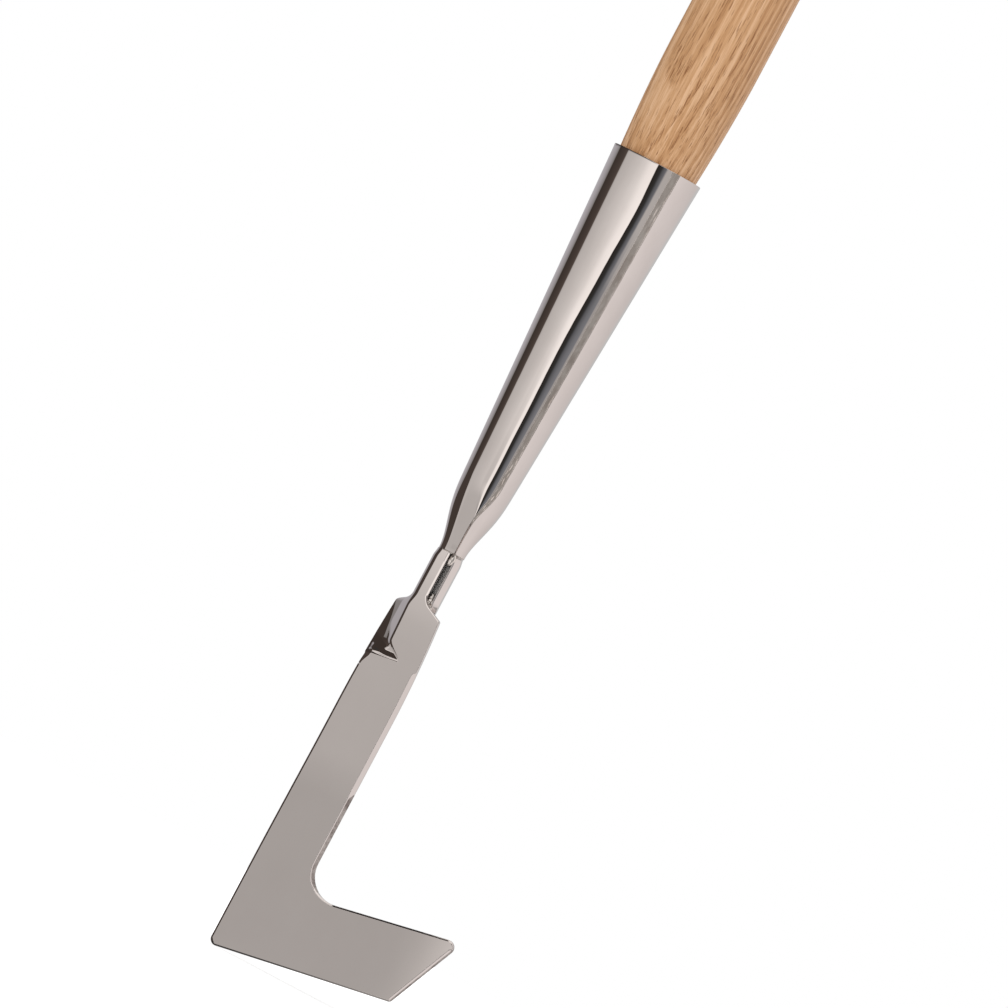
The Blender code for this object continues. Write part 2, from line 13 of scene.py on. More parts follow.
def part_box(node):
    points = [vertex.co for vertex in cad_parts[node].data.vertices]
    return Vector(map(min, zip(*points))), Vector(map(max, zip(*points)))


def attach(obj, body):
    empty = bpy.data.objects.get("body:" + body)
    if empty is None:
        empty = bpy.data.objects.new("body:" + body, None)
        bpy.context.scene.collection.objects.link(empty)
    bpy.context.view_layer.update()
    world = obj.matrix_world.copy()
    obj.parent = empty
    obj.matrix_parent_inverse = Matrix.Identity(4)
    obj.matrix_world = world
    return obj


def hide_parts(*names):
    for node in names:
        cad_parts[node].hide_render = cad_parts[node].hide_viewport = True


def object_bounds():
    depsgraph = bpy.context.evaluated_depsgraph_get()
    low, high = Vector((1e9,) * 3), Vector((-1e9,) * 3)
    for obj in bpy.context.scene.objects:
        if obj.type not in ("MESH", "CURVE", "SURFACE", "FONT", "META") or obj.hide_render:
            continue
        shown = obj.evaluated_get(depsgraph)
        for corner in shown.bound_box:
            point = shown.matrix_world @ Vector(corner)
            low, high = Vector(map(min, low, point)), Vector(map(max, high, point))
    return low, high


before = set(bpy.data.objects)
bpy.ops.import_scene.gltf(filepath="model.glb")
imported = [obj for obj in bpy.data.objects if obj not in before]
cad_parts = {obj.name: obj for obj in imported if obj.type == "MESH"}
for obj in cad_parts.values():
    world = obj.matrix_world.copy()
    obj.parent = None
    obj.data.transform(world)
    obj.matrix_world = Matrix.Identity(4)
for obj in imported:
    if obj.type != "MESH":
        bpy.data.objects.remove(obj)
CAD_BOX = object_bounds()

MM = 0.001

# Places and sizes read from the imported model
SOCKET_LOW, SOCKET_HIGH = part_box("socket")
HANDLE_LOW, HANDLE_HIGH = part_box("handle")
AXIS = Vector(((SOCKET_LOW.x + SOCKET_HIGH.x) / 2.0, (SOCKET_LOW.y + SOCKET_HIGH.y) / 2.0, 0.0))
MOUTH_RADIUS = (SOCKET_HIGH.x - SOCKET_LOW.x) / 2.0

# Blade
BLADE_SHEET = 2.3 * MM
BLADE_LEFT = -10.1 * MM
SHANK_WIDTH = 20.0 * MM
SHOULDER_HEIGHT = 130.7 * MM
DRAW_START = 38.0 * MM
LEFT_DRAW = 1.4 * MM
RIGHT_DRAW = 1.8 * MM
LEFT_SPREAD = 0.3 * MM
SPREAD_FULL = 30.0 * MM
SPREAD_START = 90.0 * MM
FOOT_REACH = 75.8 * MM
FOOT_RISE = 28.6 * MM
SOLE_ANGLE = math.radians(9.95)
FOOT_TOP_ANGLE = math.radians(11.1)
TOE_ANGLE = math.radians(23.6)
HEEL_RADIUS = 2.3 * MM
TOE_RADIUS = 1.5 * MM
TIP_RADIUS = 2.5 * MM
INNER_RADIUS = 10.0 * MM
SHOULDER_RADIUS = 0.9 * MM
SHOULDER_ANGLE = math.radians(25.7)
POLISHED_CUT = 67.0 * MM
CUT_END = 112.0 * MM

# Stem
STEM_WIDTH = 10.1 * MM
STEM_DEPTH = 8.5 * MM
STEM_LENGTH = 22.1 * MM
STEM_LEFT = -5.3 * MM
LEG_CREASE = 2.4 * MM
LEG_FACET_WIDTH = 1.05 * MM
STEM_TAPER = 0.4 * MM
STEM_TAPER_LENGTH = 3.0 * MM
STEM_BACK_RADIUS = 3.4 * MM
LEG_EDGE = 0.5 * MM
SLOT_FOOT_RADIUS = 3.6 * MM
LEG_TOP_STEP = 0.3 * MM
WALL_SETBACK = 1.0 * MM
WALL_FOOT_CLEARANCE = 0.7 * MM
WRAP_FOOT = 4.2 * MM
WRAP_FOOT_DROP = 3.2 * MM
WALL_SHARES = (0.38, 1.0)

# Fin and dart
FIN_LENGTH = 12.8 * MM
FIN_TOP_ANGLE = math.radians(60.0)
FIN_FOOT_ANGLE = math.radians(48.0)
FIN_BEND_RADIUS = 2.8 * MM
FIN_WRAP_ANGLE = math.radians(136.0)
SOFT_CREASE_TOP = -2.0 * MM
SOFT_CREASE_FOOT = -1.1 * MM
CREASE_TOP = -3.7 * MM
CREASE_FOOT = -3.2 * MM
CREASE_ROUNDING = 0.25 * MM
CREASE_FACET_WIDTH = 0.50 * MM
FACET_ANGLE = math.radians(42.0)
FLANK_ANGLE = math.radians(59.5)
STREAK_ANGLE = math.radians(50.5)
MARGIN_ANGLE = math.radians(43.0)
FLANK_TOP_EDGE = -6.5 * MM
FLANK_FOOT_EDGE = -4.5 * MM
STREAK_TOP_EDGE = -9.0 * MM
STREAK_FOOT_EDGE = -6.3 * MM
STREAK_GAP = 0.45 * MM
STREAK_GAP_OPENS = (0.6, 0.9)
STREAK_EDGE_POWER = 0.6
FLANK_EDGE_TURN = (0.5, 1.05)
BEND_BLUR = 0.2 * MM
FOLD_FLARE = 0.17
TURN_DROP = 0.2 * MM
TURN_LENGTH = 5.4 * MM
TURN_COLUMNS = 12
DART_LENGTH = 7.3 * MM
DART_TIP = 2.0 * MM
DART_LATENESS = 1.15
DART_ARCH = 1.5
HOLLOW_DEPTH = 0.72 * MM
HOLLOW_WALL = math.radians(38.0)
HOLLOW_RELIEF = 1.05 * MM
HOLLOW_RISE = math.radians(15.5)
RISE_START = 0.58
RIM_START = 0.93
RELIEF_START = 0.08
RELIEF_FULL = 0.52
RELIEF_END = 0.75
RIM_DEPTH = 0.12 * MM
RIM_FADE = (0.5, 0.8)
HOLLOW_START = 0.1
COLUMNS_SHIFT = (0.4, 0.9)
LEAN_STEP = 0.02
SLIVER_ANGLE = math.radians(38.0)
BLEND = 0.12 * MM
DART_TILT = math.radians(8.0)
SLIVER_WIDTH = 2.3 * MM
SLIVER_LENGTH = 4.5 * MM
SLIVER_CLEARANCE = 0.3 * MM
SLIVER_TAPER = ((0.15, 0.86), (0.3, 0.73), (0.45, 0.61), (0.6, 0.50), (0.75, 0.41), (0.88, 0.35),
                (0.95, 0.32))

# Socket, its seam and the neck
SOCKET_SHEET = 1.6 * MM
SOCKET_LENGTH = 146.5 * MM
CONE_SLOPE = 0.0561
SQUEEZE_LENGTH = 26.5 * MM
NECK_WIDTH = 9.5 * MM
NECK_DEPTH = 8.4 * MM
SQUEEZE_LATENESS = 1.6
SEAM_ANGLE = math.radians(35.8)
SEAM_HALF_ANGLE = math.radians(5.0)
SEAM_TURN_START = 120.0 * MM
SEAM_NARROWING_START = SEAM_TURN_START + 5.0 * MM
SEAM_UNEVENNESS = 0.10
GROOVE_START = 136.0 * MM
GROOVE_RAMP_START = GROOVE_START - 3.0 * MM
GROOVE_ANGLE = math.radians(18.0)
GROOVE_NECK_ANGLE = math.radians(20.0)
GROOVE_HALF_ANGLE = math.radians(2.0)
GROOVE_DEPTH = 0.85 * MM
RIDGE_HALF_ANGLE = math.radians(24.0)
RIDGE_START = 120.0 * MM
FACET_START = 104.0 * MM
LEFT_FACET_ANGLE = math.radians(-40.0)
LEFT_FACET_HALF_ANGLE = math.radians(14.0)
HAIRLINE = 0.015 * MM
SEAM_OVERLAP = 0.06 * MM
NECK_BEAD = 0.22 * MM
BAND_REACH = math.radians(35.0)

# The ground seam's surface, in mm: how far its middle is sunk, how high the ripples on it are and
# how high its left edge stands
SEAM_SINK = 0.03
SEAM_RIPPLE = 0.05
SEAM_LIP = 0.02

# How far the polish shifts the edge of the bright band to the right: depth below the mouth and
# shift, in mm
BAND_DRIFT = ((0.0, 0.0), (17.0, 0.67), (40.0, 0.0), (67.0, -0.5), (100.0, 0.0), (117.0, 0.33),
              (146.5, 0.0))

# Lumps of weld metal in the slot, at its foot and below the neck: place across, behind and above
# and radii, in mm, and the seed of their noise
SLOT_LUMPS = (
    (-0.2, 0.3, 1.2, (1.4, 1.3, 1.9), 7.0),
    (0.7, 0.0, -0.9, (1.2, 1.2, 1.5), 9.0),
    (-0.3, 0.2, 3.0, (1.2, 1.1, 1.2), 11.0),
    (0.8, -0.2, 1.2, (0.7, 0.8, 0.8), 15.0),
)
NECK_LUMPS = (
    (0.1, 1.2, -2.2, (1.0, 1.3, 2.3), 1.0),
    (0.5, 0.7, -1.5, (0.9, 0.9, 1.5), 4.0),
)
SLOT_BEAD_DEPTH = 0.9 * MM

# How rough the lumps are, as a share of their size, and how many waves of it fit in a metre; the
# finer roughness on top is a share of that, with as many times more waves
SLOT_ROUGHNESS = (0.28, 750.0)
NECK_ROUGHNESS = (0.16, 700.0)
FINE_SHARE = 0.4
FINE_TIMES = 3.0

# Shaft
FIT_GAP = 0.3 * MM
SHAFT_RADIUS = 15.9 * MM
SWELL_LENGTH = 40.0 * MM
SWELL_POWER = 1.7
SHAFT_TOP_RADIUS = 14.2 * MM
TOP_TAPER_LENGTH = 500.0 * MM
DOME_HEIGHT = 11.0 * MM
NOSE_CHAMFER = 3.0 * MM

# Polished steel's tones, and the steels that aren't polished: darkest and lightest tone,
# roughness, depth of relief, and how many waves of grain fit in a metre along each axis
POLISH_TONES = ((0.30, (0.62, 0.575, 0.555)), (0.70, (0.69, 0.65, 0.632)))
ROUGH_STEELS = {
    "sheared_edge": ((0.20, 0.17, 0.16), (0.46, 0.43, 0.41), 0.35, 0.04 * MM, (900.0, 900.0, 1400.0)),
    "stem_inside": ((0.42, 0.41, 0.41), (0.56, 0.55, 0.54), 0.45, 0.004 * MM, (400.0, 400.0, 80.0)),
    "weld_metal": ((0.52, 0.46, 0.42), (0.70, 0.65, 0.61), 0.09, 0.035 * MM, (500.0, 500.0, 260.0)),
    # The weld bead's rough finish is its own; its light tone, up to 0.94, is painted light that offsets the
    # shade in the slot
    "lightened_weld_bead": ((0.60, 0.55, 0.51), (0.94, 0.89, 0.85), 0.26, 0.05 * MM, (1200.0, 1200.0, 1200.0)),
    "screw_metal": ((0.50, 0.50, 0.50), (0.66, 0.66, 0.65), 0.22, 0.01 * MM, (1500.0, 1500.0, 1500.0)),
}

# Ash: the pith's place from the axis, the growth bands' spacing, lean and waviness, how open the
# early wood is across a band, and the tones from dark fibres to light ones
PITH = (0.028, 0.060, 0.0)
BAND_SPACING = 2.2 * MM
BAND_LEAN = 0.010
BAND_WAVE = 0.012
EARLY_WOOD = ((0.0, 1.0), (0.30, 0.55), (0.55, 0.0), (0.93, 0.05), (1.0, 0.9))
WOOD_TONES = ((0.42, (0.39, 0.182, 0.072)), (0.56, (0.550, 0.288, 0.130)),
              (0.66, (0.645, 0.362, 0.178)), (0.80, (0.800, 0.500, 0.292)))
PORE_TINT = (0.60, 0.50, 0.42)
PORE_DEPTH = 0.06 * MM

# Fixing screw
SCREW_BELOW_MOUTH = 22.0 * MM
SCREW_RADIUS = 2.0 * MM
SCREW_GRIP = 12.0 * MM
SCREW_HEAD_RADIUS = 4.2 * MM
SCREW_HEAD_HEIGHT = 2.4 * MM
SCREW_RECESS_WIDTH = 1.2 * MM
SCREW_RECESS_DEPTH = 1.3 * MM
SCREW_RECESS_REACH = 0.55 * SCREW_HEAD_RADIUS
SCREW_RECESS_END = (SCREW_RECESS_REACH - 0.3 * MM, SCREW_RECESS_REACH + 0.1 * MM)
SCREW_RECESS_BLUR = 0.12 * MM
SCREW_SEAT_GAP = 0.05 * MM
SCREW_TIP_LENGTH = 2.5 * MM
SCREW_RIM_SHARE = 0.30
SCREW_RIM_STEP = 0.1 * MM
SCREW_SEAT_STEP = 0.3 * MM

# Edges of the sheet: where the face ends, where the bevel ends and where the side begins, each as
# a distance in from the edge and a depth below the face, in millimetres
EDGES = {
    "soft": ((0.30, 0.0), (0.0, 0.30), (0.0, 0.80)),
    "left": ((0.75, 0.0), (0.0, 0.66), (0.0, 1.20)),
    "heel": ((1.05, 0.0), (0.0, 0.95), (0.0, 1.40)),
    "sole": ((0.50, 0.0), (0.0, 0.50), (0.0, 1.00)),
    "top": ((0.60, 0.0), (0.0, 0.55), (0.0, 1.00)),
    "cut": ((1.50, 0.0), (0.10, 1.40), (0.0, 1.70)),
    "sheared": ((1.35, 0.0), (1.02, 0.33), (0.05, 1.85)),
    "wall": ((1.90, 0.0), (0.10, 1.85), (0.0, 2.10)),
    "end": ((1.05, 0.0), (0.40, 0.55), (0.0, 1.50)),
    "shoulder": ((0.45, 0.0), (0.06, 0.055), (0.0, 0.60)),
    "leg": ((0.85, 0.0), (0.12, 0.09), (0.0, 0.60)),
    "joint": ((0.06, 0.0), (0.0, 0.06), (0.0, 0.30)),
    "mouth": ((0.12, 0.0), (0.0, 0.12), (0.0, 0.40)),
    "groove": ((0.50, 0.0), (0.0, 0.85), (0.0, 1.10)),
}
ON_FOOT = (20.0 * MM, 25.0 * MM)
ON_STEM_FADE = 3.0 * MM
IN_SLOT_START = 1.0 * MM
IN_SLOT_FULL = 3.0 * MM
OFF_FACE = (0.1 * MM, 0.5 * MM)
TOP_EDGE_FADE = 0.2 * MM
CUT_END_FADE = 6.0 * MM
SHEARED_FADE = 3.0 * MM
SHEARED_UNEVENNESS = 0.25
CUT_UNEVENNESS = 0.15
BACK_EDGE = 0.2 * MM
EDGE_FILLET = 0.10 * MM
FILLET_SHARE = 0.35
BEVEL_ROOM = 0.7
SIDE_STEPS = range(4, 10)

# Places that follow
FACE = -STEM_DEPTH / 2.0
BLADE_RIGHT = BLADE_LEFT + SHANK_WIDTH
WALL_INSIDE = STEM_LEFT + STEM_WIDTH - BLADE_SHEET
SLOT_CENTRE = (LEG_EDGE + WALL_INSIDE) / 2.0
JOINT_HEIGHT = SHOULDER_HEIGHT + STEM_LENGTH
MOUTH_HEIGHT = JOINT_HEIGHT + SOCKET_LENGTH
SQUEEZE_START = SOCKET_LENGTH - SQUEEZE_LENGTH
STEM_TOP = JOINT_HEIGHT - NECK_BEAD / 2.0 - HAIRLINE
FIN_FOOT = SHOULDER_HEIGHT - FIN_LENGTH
DART_FOOT = FIN_FOOT - DART_LENGTH
SLIVER_FOOT = DART_FOOT - SLIVER_LENGTH
SHAFT_EXPOSED = HANDLE_HIGH.z - SOCKET_HIGH.z
NOSE_LENGTH = SOCKET_HIGH.z - HANDLE_LOW.z
ORIGIN = AXIS + Vector((0.0, 0.0, SOCKET_HIGH.z - MOUTH_HEIGHT))

# The photograph's view
VIEW_AZIMUTH = math.radians(10.0)
VIEW_ELEVATION = math.radians(-1.0)
VIEW_ROLL = math.radians(28.0)
VIEW_LENS = 800.0
SENSOR = 36.0
FRAME_WIDTH = 336.0 * MM
CENTRE_RIGHT_OF_AXIS = 7.7 * MM
CENTRE_BELOW_MOUTH = 123.75 * MM
VIEW_RIGHT = Vector((math.cos(VIEW_AZIMUTH), math.sin(VIEW_AZIMUTH), 0.0))
VIEW_TOWARDS = Vector((math.sin(VIEW_AZIMUTH), -math.cos(VIEW_AZIMUTH), 0.0))

# Mesh density
CORNER_STEPS = 14
LEFT_STEPS = 40
CREASE_STEPS = 4
FACET_STEPS = 4
FOLD_STEPS = 60
DART_STEPS = 44
CUT_STEP = 0.8 * MM
TAPER_ROWS = 5
STEM_ROWS = 12
STEM_BACK_STEPS = 6
LEG_STEPS = 4
TURN_ROWS = 4
WRAP_ROWS = 14
FIN_ROWS = 18
HIDDEN_ROWS = 6
CONE_RINGS = 60
SQUEEZE_RINGS = 78
SOCKET_COLUMNS = ((0.12, 30), (0.72, 72), (1.0, 120))
SEAM_COLUMNS = ((1.0, 12),)
NECK_RINGS = 4
NECK_TURNS = 96
BLOB_SEGMENTS = 32
SHAFT_TURNS = 128
DOME_RINGS = 24
SHAFT_RINGS = 90
SWELL_RINGS = 24
SCREW_TURNS = 96
SCREW_DOME_STEPS = 28


def ease(value, low, high):
    """An S-curve that is 0 at low and 1 at high."""
    part = min(max((value - low) / (high - low), 0.0), 1.0)
    return part * part * (3.0 - 2.0 * part)


def mix(first, second, share):
    return first + (second - first) * share


def steps_between(first, last, count):
    """Even steps up to last; first itself isn't among them."""
    return [mix(first, last, (step + 1) / count) for step in range(count)]


def wander(place, scale, seed=0.0):
    """Smooth noise from -1 to 1 at a place, repeating on no visible scale."""
    return noise.noise(Vector(place) * scale + Vector((seed, 3.1 * seed, 7.7 * seed)))


# Shader helpers

def new_material(name):
    """A new material, with its node tree and its main shader."""
    material = bpy.data.materials.new(name)
    material.use_nodes = True
    return material, material.node_tree, material.node_tree.nodes["Principled BSDF"]


def fill(tree, node, inputs):
    """Sets a node's inputs to values, or links them to other nodes' outputs."""
    for name, value in inputs.items():
        if isinstance(value, bpy.types.NodeSocket):
            tree.links.new(value, node.inputs[name])
        else:
            node.inputs[name].default_value = value


def add_node(tree, kind, inputs, **options):
    node = tree.nodes.new("ShaderNode" + kind)
    for name, value in options.items():
        setattr(node, name, value)
    fill(tree, node, inputs)
    return node


def maths(tree, operation, first, second=0.0, third=0.0):
    return add_node(tree, "Math", {0: first, 1: second, 2: third}, operation=operation).outputs[0]


def scaled_place(tree, scale, offset=(0.0, 0.0, 0.0)):
    """The surface's own place, moved to the shaft's axis, turned by an offset and stretched."""
    place = add_node(tree, "TexCoord", {}).outputs["Object"]
    centred = add_node(tree, "VectorMath", {0: place, 1: tuple(AXIS + Vector(offset))},
                       operation='SUBTRACT').outputs[0]
    return add_node(tree, "VectorMath", {0: centred, 1: scale}, operation='MULTIPLY').outputs[0]


def noise_at(tree, scale, detail=2.0, roughness=0.5, offset=(0.0, 0.0, 0.0)):
    """Noise whose features are 1 / scale long along each axis, as a value about 0.5."""
    node = add_node(tree, "TexNoise", {"Vector": scaled_place(tree, scale, offset), "Scale": 1.0,
                                       "Detail": detail, "Roughness": roughness})
    return node.outputs["Fac"]


def ramp(tree, value, stops):
    node = add_node(tree, "ValToRGB", {"Fac": value})
    elements = node.color_ramp.elements
    while len(elements) < len(stops):
        elements.new(0.5)
    for element, (place, colour) in zip(elements, stops):
        element.position = place
        element.color = (*colour, 1.0)
    return node.outputs["Color"]


def map_range(tree, value, low, high, to_low, to_high, smooth=False):
    node = add_node(tree, "MapRange", {"Value": value, "From Min": low, "From Max": high,
                                       "To Min": to_low, "To Max": to_high})
    if smooth:
        node.interpolation_type = 'SMOOTHSTEP'
    return node.outputs["Result"]


def fade_in(tree, value, start, full):
    return map_range(tree, value, start, full, 0.0, 1.0, True)


def fade_out(tree, value, start, end):
    return map_range(tree, value, start, end, 1.0, 0.0, True)


def mix_colours(tree, share, first, second, blend='MIX'):
    first, second = (value if isinstance(value, bpy.types.NodeSocket) else (*value, 1.0)
                     for value in (first, second))
    inputs = {0: share, 6: first, 7: second}
    return add_node(tree, "Mix", inputs, data_type='RGBA', blend_type=blend).outputs[2]


def bump(tree, height, depth):
    """Turns a 0 to 1 height into surface relief of the given depth."""
    return add_node(tree, "Bump", {"Height": height, "Strength": 1.0, "Distance": depth}).outputs["Normal"]


# Materials

def polished_steel(name, waviness, haze_depth):
    """Mirror-polished stainless: a slight waviness and faint hazy patches."""
    material, tree, shader = new_material(name)
    haze = noise_at(tree, (70.0, 70.0, 45.0), 4.0, 0.6)
    level_haze = maths(tree, 'MULTIPLY_ADD', maths(tree, 'SUBTRACT', haze, 0.5), haze_depth, 0.5)
    waves = noise_at(tree, (45.0, 45.0, 18.0), 1.0, 0.3, (0.3, 0.1, 0.2))
    fill(tree, shader, {
        "Metallic": 1.0,
        "Base Color": ramp(tree, level_haze, POLISH_TONES),
        "Roughness": maths(tree, 'MULTIPLY_ADD', haze, 0.03, 0.012),
        "Normal": bump(tree, waves, waviness)})
    return material


def rough_steel(name, dark, light, roughness, depth, scale):
    """Steel that wasn't polished: sheared edges, the inside of the stem, weld metal, or a screw."""
    material, tree, shader = new_material(name)
    grain = noise_at(tree, scale, 5.0, 0.65)
    patches = noise_at(tree, tuple(0.25 * size for size in scale), 3.0, 0.5, (0.1, 0.2, 0.4))
    blended = maths(tree, 'MULTIPLY_ADD', grain, 0.5, maths(tree, 'MULTIPLY', patches, 0.5))
    fill(tree, shader, {
        "Metallic": 1.0,
        "Base Color": ramp(tree, blended, ((0.38, dark), (0.60, light))),
        "Roughness": map_range(tree, grain, 0.3, 0.7, roughness * 0.7, roughness * 1.3),
        "Normal": bump(tree, blended, depth)})
    return material


def oiled_ash(name):
    """Ash turned on its grain: growth bands, long fibres, and fine dark pores."""
    material, tree, shader = new_material(name)
    drift = noise_at(tree, (14.0, 14.0, 2.4), 3.0, 0.5)
    centred = add_node(tree, "SeparateXYZ", {0: scaled_place(tree, (1.0, 1.0, 1.0), PITH)})
    across = maths(tree, 'SQRT', maths(tree, 'ADD', maths(tree, 'POWER', centred.outputs[0], 2.0),
                                       maths(tree, 'POWER', centred.outputs[1], 2.0)))
    lean = maths(tree, 'MULTIPLY', centred.outputs[2], BAND_LEAN)
    placed = maths(tree, 'ADD', across, maths(tree, 'MULTIPLY_ADD', drift, BAND_WAVE, lean))
    bands = maths(tree, 'FRACT', maths(tree, 'DIVIDE', placed, BAND_SPACING))
    fibres = noise_at(tree, (2600.0, 2600.0, 60.0), 4.0, 0.65)
    streaks = noise_at(tree, (620.0, 620.0, 9.0), 3.0, 0.6, (0.7, 0.2, 0.3))
    broad = noise_at(tree, (150.0, 150.0, 5.0), 3.0, 0.55, (0.2, 0.5, 0.1))
    pore_noise = noise_at(tree, (3000.0, 3000.0, 150.0), 2.0, 0.5, (0.4, 0.4, 0.9))
    early = ramp(tree, bands, [(share, (amount, amount, amount)) for share, amount in EARLY_WOOD])
    mottled = maths(tree, 'MULTIPLY_ADD', broad, 0.30, maths(tree, 'MULTIPLY', streaks, 0.55))
    tone = maths(tree, 'MULTIPLY_ADD', early, -0.13, maths(tree, 'MULTIPLY_ADD', fibres, 0.55, mottled))
    wood = ramp(tree, tone, WOOD_TONES)
    pores = fade_in(tree, maths(tree, 'MULTIPLY_ADD', early, 0.09, pore_noise), 0.635, 0.70)
    dark = mix_colours(tree, 1.0, wood, PORE_TINT, 'MULTIPLY')
    relief = maths(tree, 'MULTIPLY_ADD', pores, -0.8, maths(tree, 'MULTIPLY', fibres, 0.6))
    fill(tree, shader, {
        "Base Color": mix_colours(tree, pores, wood, dark),
        "Roughness": map_range(tree, tone, 0.4, 0.9, 0.52, 0.42),
        "Specular IOR Level": 0.35,
        "Normal": bump(tree, relief, PORE_DEPTH)})
    return material


# Sheet-metal helpers

def mesh_object(name, grid):
    """Makes an object of a drawn mesh and links it."""
    mesh = bpy.data.meshes.new(name)
    grid.to_mesh(mesh)
    grid.free()
    piece = bpy.data.objects.new(name, mesh)
    bpy.context.scene.collection.objects.link(piece)
    return piece


def link_mesh(name, grid, materials):
    """Moves a mesh drawn about the axis to its place and makes an object of it."""
    bmesh.ops.translate(grid, vec=ORIGIN, verts=grid.verts)
    for face in grid.faces:
        face.smooth = True
    piece = mesh_object(name, grid)
    for material in materials:
        piece.data.materials.append(material)
    return piece


def weight_normals(piece):
    """Lets each large flat face keep its own normal, so that it mirrors without a ripple."""
    modifier = piece.modifiers.new("flat_faces", 'WEIGHTED_NORMAL')
    modifier.mode = 'FACE_AREA'
    modifier.weight = 50
    modifier.keep_sharp = True


def dress(piece, slot, *nodes):
    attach(piece, "root")
    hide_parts(*nodes)
    return piece


def boundary_loop(grid):
    """The open edge of a surface as one loop of vertices, with the surface on its left."""
    following = {}
    for edge in grid.edges:
        if len(edge.link_faces) == 1:
            loop = edge.link_loops[0]
            following[loop.vert] = loop.link_loop_next.vert
    start = next(iter(following))
    order = [start]
    while following[order[-1]] is not start:
        order.append(following[order[-1]])
    return order


def fillet(before, corner, after):
    """Three points that round a corner of an edge's outline."""
    points = []
    for other in (before, after):
        arm = Vector(other) - Vector(corner)
        reach = min(EDGE_FILLET, FILLET_SHARE * arm.length)
        points.append(Vector(corner) + arm.normalized() * reach)
    middle = (points[0] + points[1]) / 4.0 + Vector(corner) / 2.0
    return [points[0], middle, points[1]]


def edge_outline(kinds):
    """The corner points of a sheet's front edge, blended from the named kinds by their weights."""
    total = sum(kinds.values())
    corners = []
    for number in range(3):
        sums = [sum(weight * EDGES[kind][number][way] for kind, weight in kinds.items()) for way in (0, 1)]
        corners.append(tuple(value / total * MM for value in sums))
    first = (corners[0][0] + 4.0 * EDGE_FILLET, 0.0)
    outline = fillet(first, corners[0], corners[1]) + fillet(corners[0], corners[1], corners[2])
    return outline + fillet(corners[1], corners[2], (0.0, 2.0 * MM))


def thicken(front, soft, sheet, kinds_at):
    """Makes a closed sheet from its front surface.

    front and soft are (points, faces) alike in all but the points.  The back follows the soft
    surface, a sheet's thickness behind it.  kinds_at(place, outward) gives the weights of the
    kinds of edge, and whether the edge's side is as bright as the face.  Other sides get
    material 1, and backs of faces that are marked as inside get material 2.
    """
    points, faces = front
    base = bmesh.new()
    soft_verts = [base.verts.new(point) for point in soft[0]]
    for corners, _ in faces:
        base.faces.new([soft_verts[index] for index in corners])
    base.normal_update()
    base.verts.index_update()
    normals = [vert.normal.copy() for vert in soft_verts]
    loop = [vert.index for vert in boundary_loop(base)]
    open_edge = set(loop)
    room = {}
    for index in loop:
        inner = [edge.other_vert(soft_verts[index]).index for edge in soft_verts[index].link_edges]
        spans = [(Vector(points[index]) - Vector(points[other])).length
                 for other in inner if other not in open_edge]
        room[index] = BEVEL_ROOM * min(spans, default=1.0)
    base.free()
    fronts = [Vector(point) for point in points]
    backs = [Vector(point) - normal * sheet for point, normal in zip(soft[0], normals)]
    rings = []
    bright = []
    inset_fronts = {}
    inset_backs = {}
    for place, index in enumerate(loop):
        before = fronts[loop[place - 1]]
        after = fronts[loop[(place + 1) % len(loop)]]
        normal = normals[index]
        outward = (after - before).cross(normal).normalized()
        kinds, side_is_bright = kinds_at(fronts[index], outward)
        outline = edge_outline(kinds)
        edge = min(BACK_EDGE, sheet / 5.0) / (1.0 + 9.0 * min(kinds.get("wall", 0.0), 1.0))
        squash = min(1.0, (sheet - 2.2 * edge) / outline[-1].y)
        fit = min(1.0, room[index] / outline[0].x)
        ring = [fronts[index] - outward * point.x * fit - normal * point.y * squash for point in outline]
        back_outline = fillet((0.0, 2.0 * edge), (0.0, edge), (edge, 0.0))
        back_outline += fillet((0.0, edge), (edge, 0.0), (3.0 * edge, 0.0))
        ring += [backs[index] - outward * point.x + normal * point.y for point in back_outline]
        inset_fronts[index] = ring[0]
        inset_backs[index] = ring[-1]
        rings.append(ring)
        bright.append(side_is_bright)
    solid = bmesh.new()
    front_verts = [solid.verts.new(inset_fronts.get(index, point)) for index, point in enumerate(fronts)]
    back_verts = [solid.verts.new(inset_backs.get(index, point)) for index, point in enumerate(backs)]
    for corners, inside in faces:
        solid.faces.new([front_verts[index] for index in corners])
        back = solid.faces.new([back_verts[index] for index in reversed(corners)])
        back.material_index = 2 if inside else 0
    columns = []
    for index, ring in zip(loop, rings):
        middle = [solid.verts.new(point) for point in ring[1:-1]]
        columns.append([front_verts[index]] + middle + [back_verts[index]])
    for place, column in enumerate(columns):
        following = columns[(place + 1) % len(columns)]
        for step in range(len(column) - 1):
            face = solid.faces.new((following[step], column[step], column[step + 1], following[step + 1]))
            face.material_index = 1 if step in SIDE_STEPS and not bright[place] else 0
    return solid


# The blade's shape

def round_corner(before, corner, after, radius):
    """Points of the arc that rounds a corner, in the order of the outline."""
    corner = Vector(corner)
    towards_before = (Vector(before) - corner).normalized()
    towards_after = (Vector(after) - corner).normalized()
    half_angle = towards_before.angle(towards_after) / 2.0
    reach = radius / math.tan(half_angle)
    bisector = (towards_before + towards_after).normalized()
    centre = corner + bisector * (radius / math.sin(half_angle))
    start = corner + towards_before * reach - centre
    end = corner + towards_after * reach - centre
    sweep = start.angle(end)
    points = []
    for step in range(CORNER_STEPS + 1):
        share = step / CORNER_STEPS
        weight_start = math.sin((1.0 - share) * sweep) / math.sin(sweep)
        weight_end = math.sin(share * sweep) / math.sin(sweep)
        points.append(tuple(centre + start * weight_start + end * weight_end))
    return points


def blade_edge(height, side, draw):
    above = max(height - (SHOULDER_HEIGHT - DRAW_START), 0.0)
    return side + draw * (above / DRAW_START) ** 2


def left_edge(height):
    spread = LEFT_SPREAD * (1.0 - ease(height, SPREAD_FULL, SPREAD_START))
    return blade_edge(height, BLADE_LEFT, LEFT_DRAW) - spread


